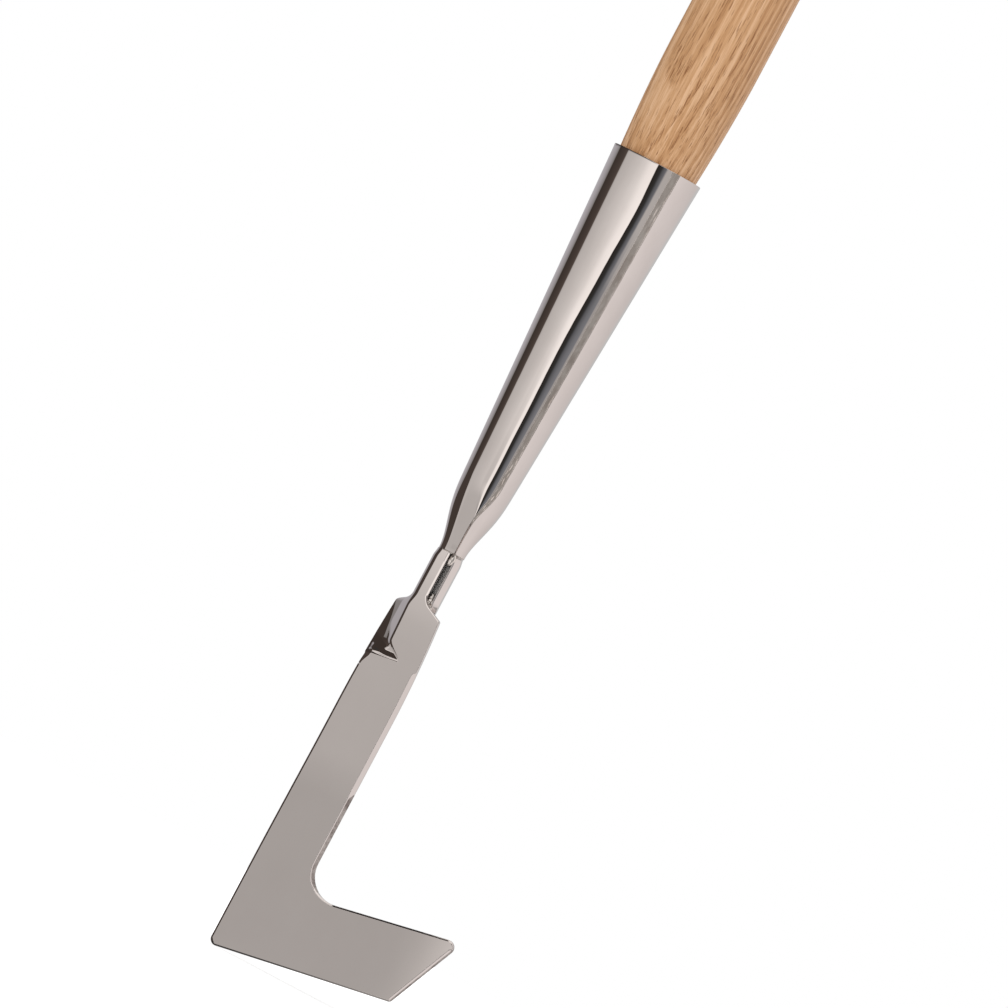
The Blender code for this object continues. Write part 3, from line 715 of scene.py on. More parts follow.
def right_edge(height):
    return blade_edge(height, BLADE_RIGHT, -RIGHT_DRAW)


def shank_outline():
    """The flat face's outline from the sliver's foot round the foot to the top of the leg."""
    inner = (BLADE_RIGHT, FOOT_RISE)
    tip_x = BLADE_LEFT + FOOT_REACH
    tip = (tip_x, FOOT_RISE + (tip_x - BLADE_RIGHT) * math.tan(FOOT_TOP_ANGLE))
    sole_slope = math.tan(SOLE_ANGLE)
    end_slope = math.tan(TOE_ANGLE)
    drop = (tip[1] - sole_slope * (tip_x - BLADE_LEFT)) / (1.0 - sole_slope * end_slope)
    toe = (tip_x - drop * end_slope, tip[1] - drop)
    heel = (left_edge(0.0), 0.0)
    left_side = (left_edge(0.0), SPREAD_FULL)
    shoulder = (right_edge(SHOULDER_HEIGHT), SHOULDER_HEIGHT)
    slot_foot = (LEG_EDGE, SHOULDER_HEIGHT + (shoulder[0] - LEG_EDGE) * math.tan(SHOULDER_ANGLE))
    draw_foot = SHOULDER_HEIGHT - DRAW_START
    draw_top = SHOULDER_HEIGHT - 3.0 * SHOULDER_RADIUS
    hollow = round_corner(tip, inner, (BLADE_RIGHT, draw_foot), INNER_RADIUS)
    cut_steps = int((draw_top - hollow[-1][1]) / CUT_STEP)
    drawn = [(right_edge(height), height) for height in steps_between(hollow[-1][1], draw_top, cut_steps)]
    below_sliver = SLIVER_FOOT - SLIVER_CLEARANCE
    outline = [(left_edge(below_sliver), below_sliver)]
    outline += [(left_edge(height), height) for height in steps_between(SLIVER_FOOT, SPREAD_FULL, LEFT_STEPS)]
    outline += round_corner(left_side, heel, toe, HEEL_RADIUS)
    outline += round_corner(heel, toe, tip, TOE_RADIUS)
    outline += round_corner(toe, tip, inner, TIP_RADIUS)
    outline += hollow + drawn
    outline += round_corner(drawn[-1], shoulder, slot_foot, SHOULDER_RADIUS)
    outline += round_corner(shoulder, slot_foot, (LEG_EDGE, STEM_TOP), SLOT_FOOT_RADIUS)
    heights = steps_between(outline[-1][1], STEM_TOP - LEG_TOP_STEP, LEG_STEPS) + [STEM_TOP]
    outline += [(LEG_EDGE, height) for height in heights]
    return outline


def folded(start, end_x, angle_at):
    """Even steps leftwards from a start (x, depth), each turned inwards by the angle at its middle."""
    width = (start[0] - end_x) / FOLD_STEPS
    points = [start]
    for step in range(FOLD_STEPS):
        across, depth = points[-1]
        slope = math.tan(angle_at(across - width / 2.0))
        points.append((across - width, depth + width * slope / (1.0 - FOLD_FLARE * slope)))
    return points


def stem_arc(left, radius, angles):
    """Points of the stem's rounded left side, at angles from its front, as (x, depth)."""
    return [(left + radius * (1.0 - math.sin(a)), radius * (1.0 - math.cos(a))) for a in angles]


def stem_left_side(left, radius, soft):
    """The stem's front left corner and side, round to where the fin's edge passes into its back."""
    if soft:
        return stem_arc(left, radius, [FIN_WRAP_ANGLE * step / FOLD_STEPS for step in range(FOLD_STEPS + 1)])
    points = [(left + LEG_CREASE, 0.0)]
    for step in range(CREASE_STEPS):
        across = CREASE_ROUNDING / CREASE_STEPS
        rise = across * math.tan(FACET_ANGLE * (step + 0.5) / CREASE_STEPS)
        points.append((points[-1][0] - across, points[-1][1] + rise))
    for step in range(FACET_STEPS):
        across = LEG_FACET_WIDTH / FACET_STEPS
        points.append((points[-1][0] - across, points[-1][1] + across * math.tan(FACET_ANGLE)))
    start = points[-1]
    control = (left, start[1] + (start[0] - left) * math.tan(1.2 * FACET_ANGLE))
    side_steps = (FOLD_STEPS - CREASE_STEPS - FACET_STEPS) // 2
    for step in range(1, side_steps + 1):
        share = step / side_steps
        before = (1.0 - share) ** 2
        middle = 2.0 * share * (1.0 - share)
        points.append((before * start[0] + middle * control[0] + share ** 2 * left,
                       before * start[1] + middle * control[1] + share ** 2 * radius))
    round_steps = FOLD_STEPS + 1 - len(points)
    return points + stem_arc(left, radius, steps_between(math.pi / 2.0, FIN_WRAP_ANGLE, round_steps))


def stem_section(height, soft):
    """The stem's channel as (x, depth), from the front leg round the back to the right wall."""
    narrowing = STEM_TAPER * ease(height, STEM_TOP - STEM_TAPER_LENGTH, STEM_TOP)
    left = STEM_LEFT + narrowing
    right = STEM_LEFT + STEM_WIDTH - narrowing
    radius = STEM_DEPTH / 2.0
    points = stem_left_side(left, radius, soft)
    points += stem_arc(left, radius, steps_between(FIN_WRAP_ANGLE, math.pi, STEM_BACK_STEPS))
    for step in range(CORNER_STEPS + 1):
        angle = math.pi / 2.0 * step / CORNER_STEPS
        points.append((right - STEM_BACK_RADIUS * (1.0 - math.sin(angle)),
                       STEM_DEPTH - STEM_BACK_RADIUS * (1.0 - math.cos(angle))))
    wall_foot = SHOULDER_HEIGHT + WRAP_FOOT
    behind = BLADE_SHEET + WALL_FOOT_CLEARANCE
    setback = mix(behind, WALL_SETBACK, ease(height, wall_foot, wall_foot + WRAP_FOOT))
    wall_back = points[-1][1]
    points += [(right, mix(wall_back, setback, share)) for share in WALL_SHARES]
    return points


def soft_fin_section(height):
    """The folded margin as a plain bend and a flank, which the sheet's back follows."""
    share = (SHOULDER_HEIGHT - height) / FIN_LENGTH
    crease = mix(SOFT_CREASE_TOP, SOFT_CREASE_FOOT, share)
    angle = mix(FIN_TOP_ANGLE, FIN_FOOT_ANGLE, share)
    bend_steps = FOLD_STEPS // 2
    points = []
    for step in range(bend_steps + 1):
        turn = angle * step / bend_steps
        points.append((crease - FIN_BEND_RADIUS * math.sin(turn), FIN_BEND_RADIUS * (1.0 - math.cos(turn))))
    bend_x, bend_depth = points[-1]
    edge_x = left_edge(height)
    for across in steps_between(bend_x, edge_x, FOLD_STEPS - bend_steps):
        points.append((across, bend_depth + (bend_x - across) * math.tan(angle)))
    return points


def fin_section(height, soft):
    """The folded margin as (x, depth): crease, steep flank, and a shallower margin to the left."""
    if soft:
        points = soft_fin_section(height)
    else:
        share = (SHOULDER_HEIGHT - height) / FIN_LENGTH
        crease = mix(CREASE_TOP, CREASE_FOOT, share)
        bright_edge = mix(FLANK_TOP_EDGE, FLANK_FOOT_EDGE, ease(share, *FLANK_EDGE_TURN))
        streak_edge = mix(STREAK_TOP_EDGE, STREAK_FOOT_EDGE, max(share, 0.0) ** STREAK_EDGE_POWER)
        streak_start = bright_edge - STREAK_GAP * ease(share, *STREAK_GAP_OPENS)

        def angle_at(across):
            angle = FACET_ANGLE * ease(crease - across, 0.0, CREASE_ROUNDING)
            for begin, following in ((crease - CREASE_ROUNDING - CREASE_FACET_WIDTH, FLANK_ANGLE),
                                     (bright_edge, MARGIN_ANGLE), (streak_start, STREAK_ANGLE),
                                     (streak_edge, MARGIN_ANGLE)):
                angle = mix(angle, following, ease(begin - across, 0.0, BEND_BLUR))
            return angle

        points = folded((crease, 0.0), left_edge(height), angle_at)
    return [(across - FOLD_FLARE * depth, depth) for across, depth in points]


def turned_section(height, soft):
    """The section where the fin turns into the stem, with the wrap following the fin's edge."""
    turn_foot = SHOULDER_HEIGHT - TURN_DROP
    share = ease(height, turn_foot, turn_foot + TURN_LENGTH)
    stem = stem_section(height, soft)
    fin = fin_section(height, soft)
    points = []
    for stem_point, fin_point in zip(stem, fin):
        points.append((mix(fin_point[0], stem_point[0], share), mix(fin_point[1], stem_point[1], share)))
    shift_x = points[-1][0] - stem[len(fin) - 1][0]
    shift_depth = points[-1][1] - stem[len(fin) - 1][1]
    for step, stem_point in enumerate(stem[len(fin):]):
        fade = max(0.0, 1.0 - (step + 1) / TURN_COLUMNS)
        points.append((stem_point[0] + shift_x * fade, stem_point[1] + shift_depth * fade))
    return points


def dart_crease(share, start, soft):
    arch = math.sin(math.pi / 2.0 * min(share, 1.0))
    return mix(start, DART_TIP, arch ** (1.0 if soft else DART_ARCH))


def deepest(first, second):
    """The greater of two depths, with the corner between them rounded."""
    return (first + second + math.hypot(first - second, BLEND)) / 2.0


def dart_section(share, soft):
    """A row of the dart: 0 is the fin's foot, 1 the dart's straight lower edge, as (x, depth, z).

    The fin falls back to a sliver along the left edge.  Inside the arched crease the front has a
    steep wall and a small flat floor, which rises to a narrow rim along the lower edge.
    """
    fin = fin_section(FIN_FOOT, soft)
    height = mix(FIN_FOOT, DART_FOOT, share)
    crease = dart_crease(share, fin[0][0], soft)
    lean = (dart_crease(share + LEAN_STEP, fin[0][0], soft) - crease) / (LEAN_STEP * DART_LENGTH)
    edge_x = left_edge(height)
    rise = share ** DART_LATENESS
    floor = HOLLOW_DEPTH - max(share - RISE_START, 0.0) * DART_LENGTH * math.tan(HOLLOW_RISE)
    floor = max(floor, RIM_DEPTH) * (1.0 - ease(share, RIM_START, 1.0))
    relief = HOLLOW_RELIEF * ease(share, RELIEF_START, RELIEF_FULL) * (1.0 - ease(share, RELIEF_END, 1.0))
    wall_slope = math.tan(HOLLOW_WALL) / (1.0 - FOLD_FLARE * math.tan(HOLLOW_WALL)) / math.hypot(1.0, lean)
    points = []
    for column, (fin_x, fin_depth) in enumerate(fin):
        as_on_fin = (fin_x - fin[0][0]) / (fin[-1][0] - fin[0][0])
        along = mix(as_on_fin, column / FOLD_STEPS, ease(share, *COLUMNS_SHIFT))
        across = mix(crease, edge_x, along)
        tilt = (across - edge_x) * math.tan(DART_TILT) * share
        sliver = max(edge_x + SLIVER_WIDTH - across, 0.0) * math.tan(SLIVER_ANGLE)
        depth = mix(fin_depth, sliver, rise)
        if not soft:
            inner = max(depth - relief * ease(across - edge_x, 0.0, SLIVER_WIDTH), 0.0)
            hollow = min((crease - across) * wall_slope, floor)
            depth = mix(inner, deepest(inner, hollow), ease(share, 0.0, HOLLOW_START)) if column else 0.0
        points.append((across - FOLD_FLARE * depth, depth, height + tilt))
    if not soft and share == 1.0:
        return [(across, mix(0.0, depth, ease(column / FOLD_STEPS, *RIM_FADE)), height)
                for column, (across, depth, height) in enumerate(points)]
    return points


def blade_rows(soft):
    """Every row of the folded sheet, from the stem's top to the dart's lower edge."""
    turn_top = SHOULDER_HEIGHT + TURN_LENGTH
    wrap_foot = SHOULDER_HEIGHT + WRAP_FOOT
    heights = [STEM_TOP - STEM_TAPER_LENGTH * step / TAPER_ROWS for step in range(TAPER_ROWS + 1)]
    heights += steps_between(heights[-1], turn_top, STEM_ROWS)
    heights += steps_between(turn_top, wrap_foot, TURN_ROWS)
    wrap_rows = len(heights)
    heights += steps_between(wrap_foot, SHOULDER_HEIGHT, WRAP_ROWS)
    heights += steps_between(SHOULDER_HEIGHT, FIN_FOOT, FIN_ROWS)[:-1]
    rows = []
    for number, height in enumerate(heights):
        section = turned_section(height, soft)
        if number >= wrap_rows:
            section = section[:FOLD_STEPS + 1]
        lowered = ease(height, STEM_TOP, wrap_foot)
        row = []
        for column, (across, depth) in enumerate(section):
            past_fin = max(column - FOLD_STEPS, 0) / max(len(section) - 1.0 - FOLD_STEPS, 1.0)
            row.append((across, depth, height - WRAP_FOOT_DROP * past_fin * lowered))
        rows.append(row)
    rows += [dart_section(step / DART_STEPS, soft) for step in range(DART_STEPS + 1)]
    return rows, wrap_rows


def blade_surface(soft):
    """The sheet's outer face as points and faces; each face says whether its back is inside the stem."""
    points = []
    faces = []

    def point(across, depth, height):
        points.append((across, FACE + depth, height))
        return len(points) - 1

    rows, wrap_rows = blade_rows(soft)
    rows = [[point(*place) for place in row] for row in rows]
    for number, (upper, lower) in enumerate(zip(rows, rows[1:])):
        for column in range(min(len(upper), len(lower)) - 1):
            corners = (upper[column], upper[column + 1], lower[column + 1], lower[column])
            faces.append((corners, number < wrap_rows + HIDDEN_ROWS))
    flat = [row[0] for row in rows]
    dart_foot = rows[-1]
    edge_x = points[dart_foot[-1]][0]
    first = int(FOLD_STEPS * (1.0 - SLIVER_WIDTH / (DART_TIP - left_edge(DART_FOOT))))
    flat += dart_foot[1:first + 1]
    above = dart_foot[first:]
    for share, narrowing in SLIVER_TAPER:
        height = mix(DART_FOOT, SLIVER_FOOT, share)
        row = []
        for index in dart_foot[first:]:
            inward = (points[index][0] - edge_x) * narrowing
            row.append(point(left_edge(height) + inward, (points[index][1] - FACE) * narrowing, height))
        for column in range(len(row) - 1):
            faces.append(((above[column], above[column + 1], row[column + 1], row[column]), False))
        flat.append(row[0])
        above = row
    sliver_end = point(left_edge(SLIVER_FOOT), 0.0, SLIVER_FOOT)
    for inner, outer in zip(above, above[1:]):
        faces.append(((inner, outer, sliver_end), False))
    flat.append(sliver_end)
    flat += [point(across, 0.0, height) for across, height in shank_outline()]
    faces.append((tuple(flat), False))
    return points, faces


def blade_edges(place, outward):
    """The kinds of edge round the blade: bevels that were ground, and sides that were sheared."""
    end = Vector((math.cos(TOE_ANGLE), 0.0, -math.sin(TOE_ANGLE)))
    on_foot = ease(place.x, *ON_FOOT)
    on_stem = ease(place.z, SHOULDER_HEIGHT - ON_STEM_FADE, SHOULDER_HEIGHT)
    in_slot = ease(place.z, SHOULDER_HEIGHT + IN_SLOT_START, SHOULDER_HEIGHT + IN_SLOT_FULL)
    flat = 1.0 - ease(abs(place.y - FACE), *OFF_FACE)
    top = ease(outward.z, 0.8, 0.95) * ease(place.z, STEM_TOP - TOP_EDGE_FADE, STEM_TOP)
    below_cut_end = 1.0 - ease(place.z, CUT_END - CUT_END_FADE, CUT_END)
    kinds = {
        "soft": 0.02,
        "left": ease(-outward.x, 0.5, 0.9) * flat * (1.0 - on_stem),
        "heel": 3.0 * ease(-outward.x, 0.1, 0.6) * ease(-outward.z, 0.1, 0.6) * flat,
        "sole": ease(-outward.z, 0.6, 0.9) * flat,
        "end": 2.0 * ease(outward.dot(end), 0.90, 0.99) * on_foot,
        "top": ease(outward.z, 0.6, 0.9) * (1.0 - on_stem) * flat,
        "cut": ease(outward.x, 0.25, 0.8) * (1.0 - on_foot) * below_cut_end,
        "shoulder": ease(outward.z, 0.1, 0.4) * on_stem * (1.0 - top),
        "leg": ease(outward.x, 0.85, 1.0) * in_slot * flat * (1.0 - top),
        "joint": 50.0 * top,
        "wall": 2.0 * ease(-outward.y, 0.3, 0.8) * on_stem * (1.0 - top),
    }
    sheared = 1.0 - ease(place.z, POLISHED_CUT - SHEARED_FADE, POLISHED_CUT)
    kinds["sheared"] = kinds["cut"] * sheared * (1.0 + SHEARED_UNEVENNESS * wander(place, 600.0, 3.0))
    kinds["cut"] *= (1.0 - sheared) * (1.0 + CUT_UNEVENNESS * wander(place, 120.0, 5.0))
    return kinds, not (kinds["sheared"] > 0.3 or on_foot > 0.5)


def build_blade(steel, cut_edge, inside):
    solid = thicken(blade_surface(False), blade_surface(True), BLADE_SHEET, blade_edges)
    blade = link_mesh("blade_sheet", solid, (steel, cut_edge, inside))
    weight_normals(blade)
    return dress(blade, "polished_steel", "blade")


# The socket's shape

def cone_radius(below_mouth):
    return MOUTH_RADIUS - CONE_SLOPE * below_mouth


def ridge_angle(below):
    return mix(GROOVE_ANGLE, GROOVE_NECK_ANGLE, ease(below, GROOVE_START, SOCKET_LENGTH))


def squeezed_radius(below, angle):
    """A squeezed section's distance from the axis as a share of the round one's.

    Towards the neck a ridge forms at the front right, as two flats meet there ever more sharply,
    and a flat facet spreads over the front left.
    """
    facet = LEFT_FACET_HALF_ANGLE * ease(below, FACET_START, GROOVE_START)
    from_facet = abs(math.remainder(angle - LEFT_FACET_ANGLE, 2.0 * math.pi))
    if from_facet < facet:
        return math.cos(facet) / math.cos(from_facet)
    blunt = 1.0 - ease(below, RIDGE_START, GROOVE_START)
    from_ridge = abs(math.remainder(angle - ridge_angle(below), 2.0 * math.pi))
    if from_ridge >= RIDGE_HALF_ANGLE or blunt >= 1.0:
        return 1.0
    flat = (1.0 - blunt) * math.tan(RIDGE_HALF_ANGLE)
    if from_ridge >= RIDGE_HALF_ANGLE - math.atan(flat):
        return 1.0 / math.cos(RIDGE_HALF_ANGLE - from_ridge)
    centre = (1.0 - blunt) / math.cos(RIDGE_HALF_ANGLE)
    return centre * math.cos(from_ridge) + math.sqrt(blunt ** 2 - (centre * math.sin(from_ridge)) ** 2)


def band_drift(below):
    for (start, first), (end, last) in zip(BAND_DRIFT, BAND_DRIFT[1:]):
        if below <= end * MM:
            return mix(first, last, ease(below, start * MM, end * MM)) * MM
    return 0.0


def socket_point(below, angle, lift=0.0):
    """A point of the socket's outer face; the angle runs from the front towards the right."""
    part = max((below - SQUEEZE_START) / SQUEEZE_LENGTH, 0.0)
    squeeze = ease(part ** SQUEEZE_LATENESS, 0.0, 1.0)
    cone = cone_radius(below)
    shape = squeezed_radius(below, angle)
    from_view = math.remainder(angle - VIEW_AZIMUTH, 2.0 * math.pi)
    lift += band_drift(below) * from_view * max(1.0 - (from_view / BAND_REACH) ** 2, 0.0) ** 2
    half_width = mix(cone, NECK_WIDTH / 2.0, squeeze) * shape + lift
    half_depth = mix(cone, NECK_DEPTH / 2.0, squeeze) * shape + lift
    return half_width * math.sin(angle), -half_depth * math.cos(angle), MOUTH_HEIGHT - below


def socket_depths():
    """Distances below the mouth at which the socket has a ring of points."""
    end = SOCKET_LENGTH - NECK_BEAD / 2.0 - HAIRLINE
    depths = [FACET_START * step / CONE_RINGS for step in range(CONE_RINGS)]
    depths += [mix(FACET_START, end, step / SQUEEZE_RINGS) for step in range(SQUEEZE_RINGS + 1)]
    return depths


def strip_surface(first, last, shares, lift=None):
    """Part of the socket's outer face between two edges, each an angle at a depth."""
    points = []
    faces = []
    rows = []
    for below in socket_depths():
        row = []
        for share in shares:
            angle = mix(first(below), last(below), share)
            raised = lift(below, share) if lift else 0.0
            row.append(len(points))
            points.append(socket_point(below, angle, raised))
        rows.append(row)
    for upper, lower in zip(rows, rows[1:]):
        for column in range(len(shares) - 1):
            faces.append(((upper[column], lower[column], lower[column + 1], upper[column + 1]), False))
    return points, faces


def seam_edge(below, side, gap):
    """The angle of the seam's left (-1) or right (1) edge, a gap away from the weld."""
    centre = mix(SEAM_ANGLE, GROOVE_ANGLE, ease(below, SEAM_TURN_START, GROOVE_START))
    centre += ridge_angle(below) - GROOVE_ANGLE
    narrowing = ease(below, SEAM_NARROWING_START, GROOVE_START)
    half = mix(SEAM_HALF_ANGLE, GROOVE_HALF_ANGLE, narrowing)
    unevenness = SEAM_UNEVENNESS * half * wander((side, 0.0, below), 260.0) * (1.0 - narrowing)
    radius = Vector(socket_point(below, centre)).xy.length
    return centre + side * (half + unevenness + gap / radius)


def spaced(stretches):
    """Shares from 0 to 1 in stretches of even steps, each given as (end, steps)."""
    shares = [0.0]
    for end, steps in stretches:
        shares += steps_between(shares[-1], end, steps)
    return shares


def build_socket(steel, cut_edge):
    surface = strip_surface(lambda below: seam_edge(below, 1.0, HAIRLINE),
                            lambda below: seam_edge(below, -1.0, HAIRLINE) + 2.0 * math.pi,
                            spaced(SOCKET_COLUMNS))

    def kinds_at(place, outward):
        mouth = ease(outward.z, 0.5, 0.9)
        below = MOUTH_HEIGHT - place.z
        groove = ease(-outward.x, 0.3, 0.7) * ease(below, GROOVE_RAMP_START, GROOVE_START)
        return {"mouth": mouth, "groove": groove, "joint": max(1.0 - mouth - groove, 0.001)}, True

    solid = thicken(surface, surface, SOCKET_SHEET, kinds_at)
    socket = link_mesh("socket_tube", solid, (steel, cut_edge))
    weight_normals(socket)
    return dress(socket, "polished_steel", "socket")


def build_seam(weld):
    def lift(below, share):
        crown = math.sin(math.pi * share)
        place = (0.003 * share, 0.0, below)
        ripple = SEAM_RIPPLE * wander(place, 900.0) + SEAM_RIPPLE * wander(place, 330.0, 2.0)
        sunk = (-SEAM_SINK + ripple) * crown + SEAM_LIP * (1.0 - share) ** 4
        return sunk * MM - GROOVE_DEPTH * ease(below, GROOVE_RAMP_START, GROOVE_START)

    surface = strip_surface(lambda below: seam_edge(below, -1.0, SEAM_OVERLAP),
                            lambda below: seam_edge(below, 1.0, -HAIRLINE), spaced(SEAM_COLUMNS), lift)
    solid = thicken(surface, surface, SOCKET_SHEET - FIT_GAP, lambda place, outward: ({"joint": 1.0}, True))
    return dress(link_mesh("seam_bead", solid, (weld, weld)), "ground_weld", "seam_weld")


# Welds at the neck and in the slot

def add_lumps(grid, origin, lumps, roughness, scale):
    """Lumps of weld metal about a place: ellipsoids whose surface wanders."""
    for across, behind, above, radii, seed in lumps:
        centre = Vector((origin[0] + across * MM, origin[1] + behind * MM, origin[2] + above * MM))
        made = bmesh.ops.create_uvsphere(grid, u_segments=BLOB_SEGMENTS, v_segments=BLOB_SEGMENTS // 2,
                                         radius=1.0)
        for vert in made["verts"]:
            place = Vector([value * (size * MM) for value, size in zip(vert.co, radii)])
            fine = FINE_SHARE * roughness * wander(place, FINE_TIMES * scale, seed)
            vert.co = centre + place * (1.0 + roughness * wander(place, scale, seed) + fine)


def build_neck(weld, bead):
    """The ground ring between stem and socket, and the lumps that it leaves in the slot."""
    grid = bmesh.new()
    rings = []
    for step in range(NECK_RINGS + 1):
        height = JOINT_HEIGHT + NECK_BEAD * (step / NECK_RINGS - 0.5)
        ring = []
        for turn in range(NECK_TURNS):
            angle = 2.0 * math.pi * turn / NECK_TURNS
            across = Vector((math.sin(angle), -math.cos(angle), 0.0))
            swell = 0.02 * MM * wander(across, 3.0, step * 0.2)
            ring.append(grid.verts.new((across.x * (NECK_WIDTH / 2.0 + swell),
                                        across.y * (NECK_DEPTH / 2.0 + swell), height)))
        rings.append(ring)
    for lower, upper in zip(rings, rings[1:]):
        for turn in range(NECK_TURNS):
            following = (turn + 1) % NECK_TURNS
            grid.faces.new((lower[turn], lower[following], upper[following], upper[turn]))
    grid.faces.new(list(reversed(rings[0])))
    grid.faces.new(rings[-1])
    ground = set(grid.faces)
    add_lumps(grid, (SLOT_CENTRE, FACE, JOINT_HEIGHT + 0.5 * NECK_BEAD), NECK_LUMPS, *NECK_ROUGHNESS)
    for face in grid.faces:
        face.material_index = 0 if face in ground else 1
    piece = link_mesh("neck_bead", grid, (weld, bead))
    weight_normals(piece)
    return dress(piece, "ground_weld", "neck_weld")


def build_slot_bead(weld):
    grid = bmesh.new()
    foot = SHOULDER_HEIGHT + (right_edge(SHOULDER_HEIGHT) - SLOT_CENTRE) * math.tan(SHOULDER_ANGLE)
    add_lumps(grid, (SLOT_CENTRE, FACE + BLADE_SHEET + SLOT_BEAD_DEPTH, foot), SLOT_LUMPS,
              *SLOT_ROUGHNESS)
    return dress(link_mesh("slot_bead", grid, (weld,)), "ground_weld", "slot_weld")


# Shaft and screw

def turned_grid(profile, steps):
    """Spins (radius, height) points, listed from top to bottom, about the axis; both ends close."""
    grid = bmesh.new()
    rings = []
    for radius, height in profile:
        if radius < 1e-7:
            rings.append([grid.verts.new((0.0, 0.0, height))])
            continue
        angles = [2.0 * math.pi * step / steps for step in range(steps)]
        rings.append([grid.verts.new((radius * math.cos(a), radius * math.sin(a), height)) for a in angles])
    for upper, lower in zip(rings, rings[1:]):
        for step in range(steps):
            following = (step + 1) % steps
            corners = [upper[step % len(upper)], lower[step % len(lower)],
                       lower[following % len(lower)], upper[following % len(upper)]]
            grid.faces.new(list(dict.fromkeys(corners)))
    return grid


def shaft_radius(above_mouth):
    fitted = SOCKET_SHEET * math.hypot(1.0, CONE_SLOPE) + FIT_GAP
    if above_mouth <= 0.0:
        return cone_radius(-above_mouth) - fitted
    mouth = MOUTH_RADIUS - fitted
    rest = max(1.0 - above_mouth / SWELL_LENGTH, 0.0)
    full = SHAFT_RADIUS - (SHAFT_RADIUS - mouth) * rest ** SWELL_POWER
    thinning = ease(above_mouth, SHAFT_EXPOSED - TOP_TAPER_LENGTH, SHAFT_EXPOSED)
    return full - (SHAFT_RADIUS - SHAFT_TOP_RADIUS) * thinning


def build_shaft(wood):
    dome_foot = SHAFT_EXPOSED - DOME_HEIGHT
    profile = []
    for step in range(DOME_RINGS):
        angle = math.pi / 2.0 * step / DOME_RINGS
        profile.append((shaft_radius(dome_foot) * math.sin(angle), dome_foot + DOME_HEIGHT * math.cos(angle)))
    heights = [dome_foot] + steps_between(dome_foot, SWELL_LENGTH, SHAFT_RINGS)
    heights += steps_between(SWELL_LENGTH, 0.0, SWELL_RINGS) + [NOSE_CHAMFER - NOSE_LENGTH]
    profile += [(shaft_radius(height), height) for height in heights]
    profile.append((shaft_radius(-NOSE_LENGTH) - NOSE_CHAMFER, -NOSE_LENGTH))
    profile.append((0.0, -NOSE_LENGTH))
    grid = turned_grid([(radius, MOUTH_HEIGHT + height) for radius, height in profile], SHAFT_TURNS)
    return dress(link_mesh("ash_shaft", grid, (wood,)), "oiled_ash", "handle")


def build_screw(steel):
    """A round-headed screw on the socket's back, its crossed recess sunk into the head."""
    wall = cone_radius(SCREW_BELOW_MOUTH - SCREW_HEAD_RADIUS)
    seat = wall + SCREW_SEAT_GAP
    point = cone_radius(SCREW_BELOW_MOUTH) - SCREW_GRIP
    crown = seat + SCREW_HEAD_HEIGHT + FIT_GAP - SCREW_SEAT_GAP
    profile = []
    for step in range(SCREW_DOME_STEPS + 1):
        angle = math.pi / 2.0 * step / SCREW_DOME_STEPS
        height = seat + (crown - seat) * (SCREW_RIM_SHARE + (1.0 - SCREW_RIM_SHARE) * math.cos(angle))
        profile.append((SCREW_HEAD_RADIUS * math.sin(angle), height))
    profile += [(SCREW_HEAD_RADIUS - SCREW_RIM_STEP, seat + SCREW_RIM_STEP),
                (SCREW_HEAD_RADIUS - SCREW_SEAT_STEP, seat),
                (SCREW_RADIUS, seat), (SCREW_RADIUS, point + SCREW_TIP_LENGTH), (0.0, point)]
    grid = turned_grid(profile, SCREW_TURNS)
    half = SCREW_RECESS_WIDTH / 2.0
    for vert in grid.verts:
        if vert.co.z > seat + SCREW_RIM_SHARE * (crown - seat):
            along, across = sorted((abs(vert.co.x), abs(vert.co.y)), reverse=True)
            inside = 1.0 - ease(across, half - SCREW_RECESS_BLUR, half + SCREW_RECESS_BLUR)
            inside *= 1.0 - ease(along, *SCREW_RECESS_END)
            vert.co.z -= SCREW_RECESS_DEPTH * inside
    turn = Matrix.Rotation(-math.pi / 2.0, 3, 'X')
    bmesh.ops.rotate(grid, cent=(0.0, 0.0, 0.0), matrix=turn, verts=grid.verts)
    bmesh.ops.translate(grid, vec=(0.0, 0.0, MOUTH_HEIGHT - SCREW_BELOW_MOUTH), verts=grid.verts)
    return dress(link_mesh("round_head_screw", grid, (steel,)), "screw_steel", "fixing_screw")


# Studio

WARM = (1.0, 0.965, 0.94)
PINK = (1.0, 0.945, 0.93)
BROWN = (1.0, 0.78, 0.68)
SLATE = (1.0, 1.04, 1.14)
NEUTRAL = (1.0, 1.0, 1.0)
LILAC = (1.0, 0.97, 1.02)

# The ring of cards: angle from the view in degrees, brightness and tint
STUDIO_CARDS = (
    (-180.0, 0.55, LILAC), (-152.0, 0.54, LILAC), (-138.0, 0.52, LILAC), (-126.0, 0.42, LILAC),
    (-119.5, 0.30, WARM), (-116.5, 0.06, BROWN), (-92.0, 0.09, BROWN), (-85.5, 0.12, BROWN),
    (-83.0, 0.62, WARM), (-79.0, 0.69, WARM), (-62.0, 0.75, WARM), (-42.0, 0.86, WARM),
    (-26.0, 1.02, WARM), (-14.0, 1.26, WARM), (-4.0, 1.33, WARM), (0.6, 1.33, WARM),
    (1.2, 0.03, BROWN), (12.0, 0.045, NEUTRAL), (17.0, 0.14, SLATE), (24.0, 0.22, SLATE),
    (32.5, 0.28, SLATE), (34.0, 0.50, WARM), (37.0, 0.52, WARM), (39.0, 0.38, WARM),
    (57.5, 0.46, WARM), (59.5, 1.00, PINK), (75.0, 0.96, PINK), (100.0, 0.90, PINK),
    (135.0, 0.80, PINK), (150.0, 0.70, NEUTRAL), (180.0, 0.55, NEUTRAL))
CARD_LEVEL = 1.4
RING_RADIUS = 0.45
RING_FOOT = -0.3
RING_TOP = 0.9
DARK_TOP_FADE = (0.304, 0.320)
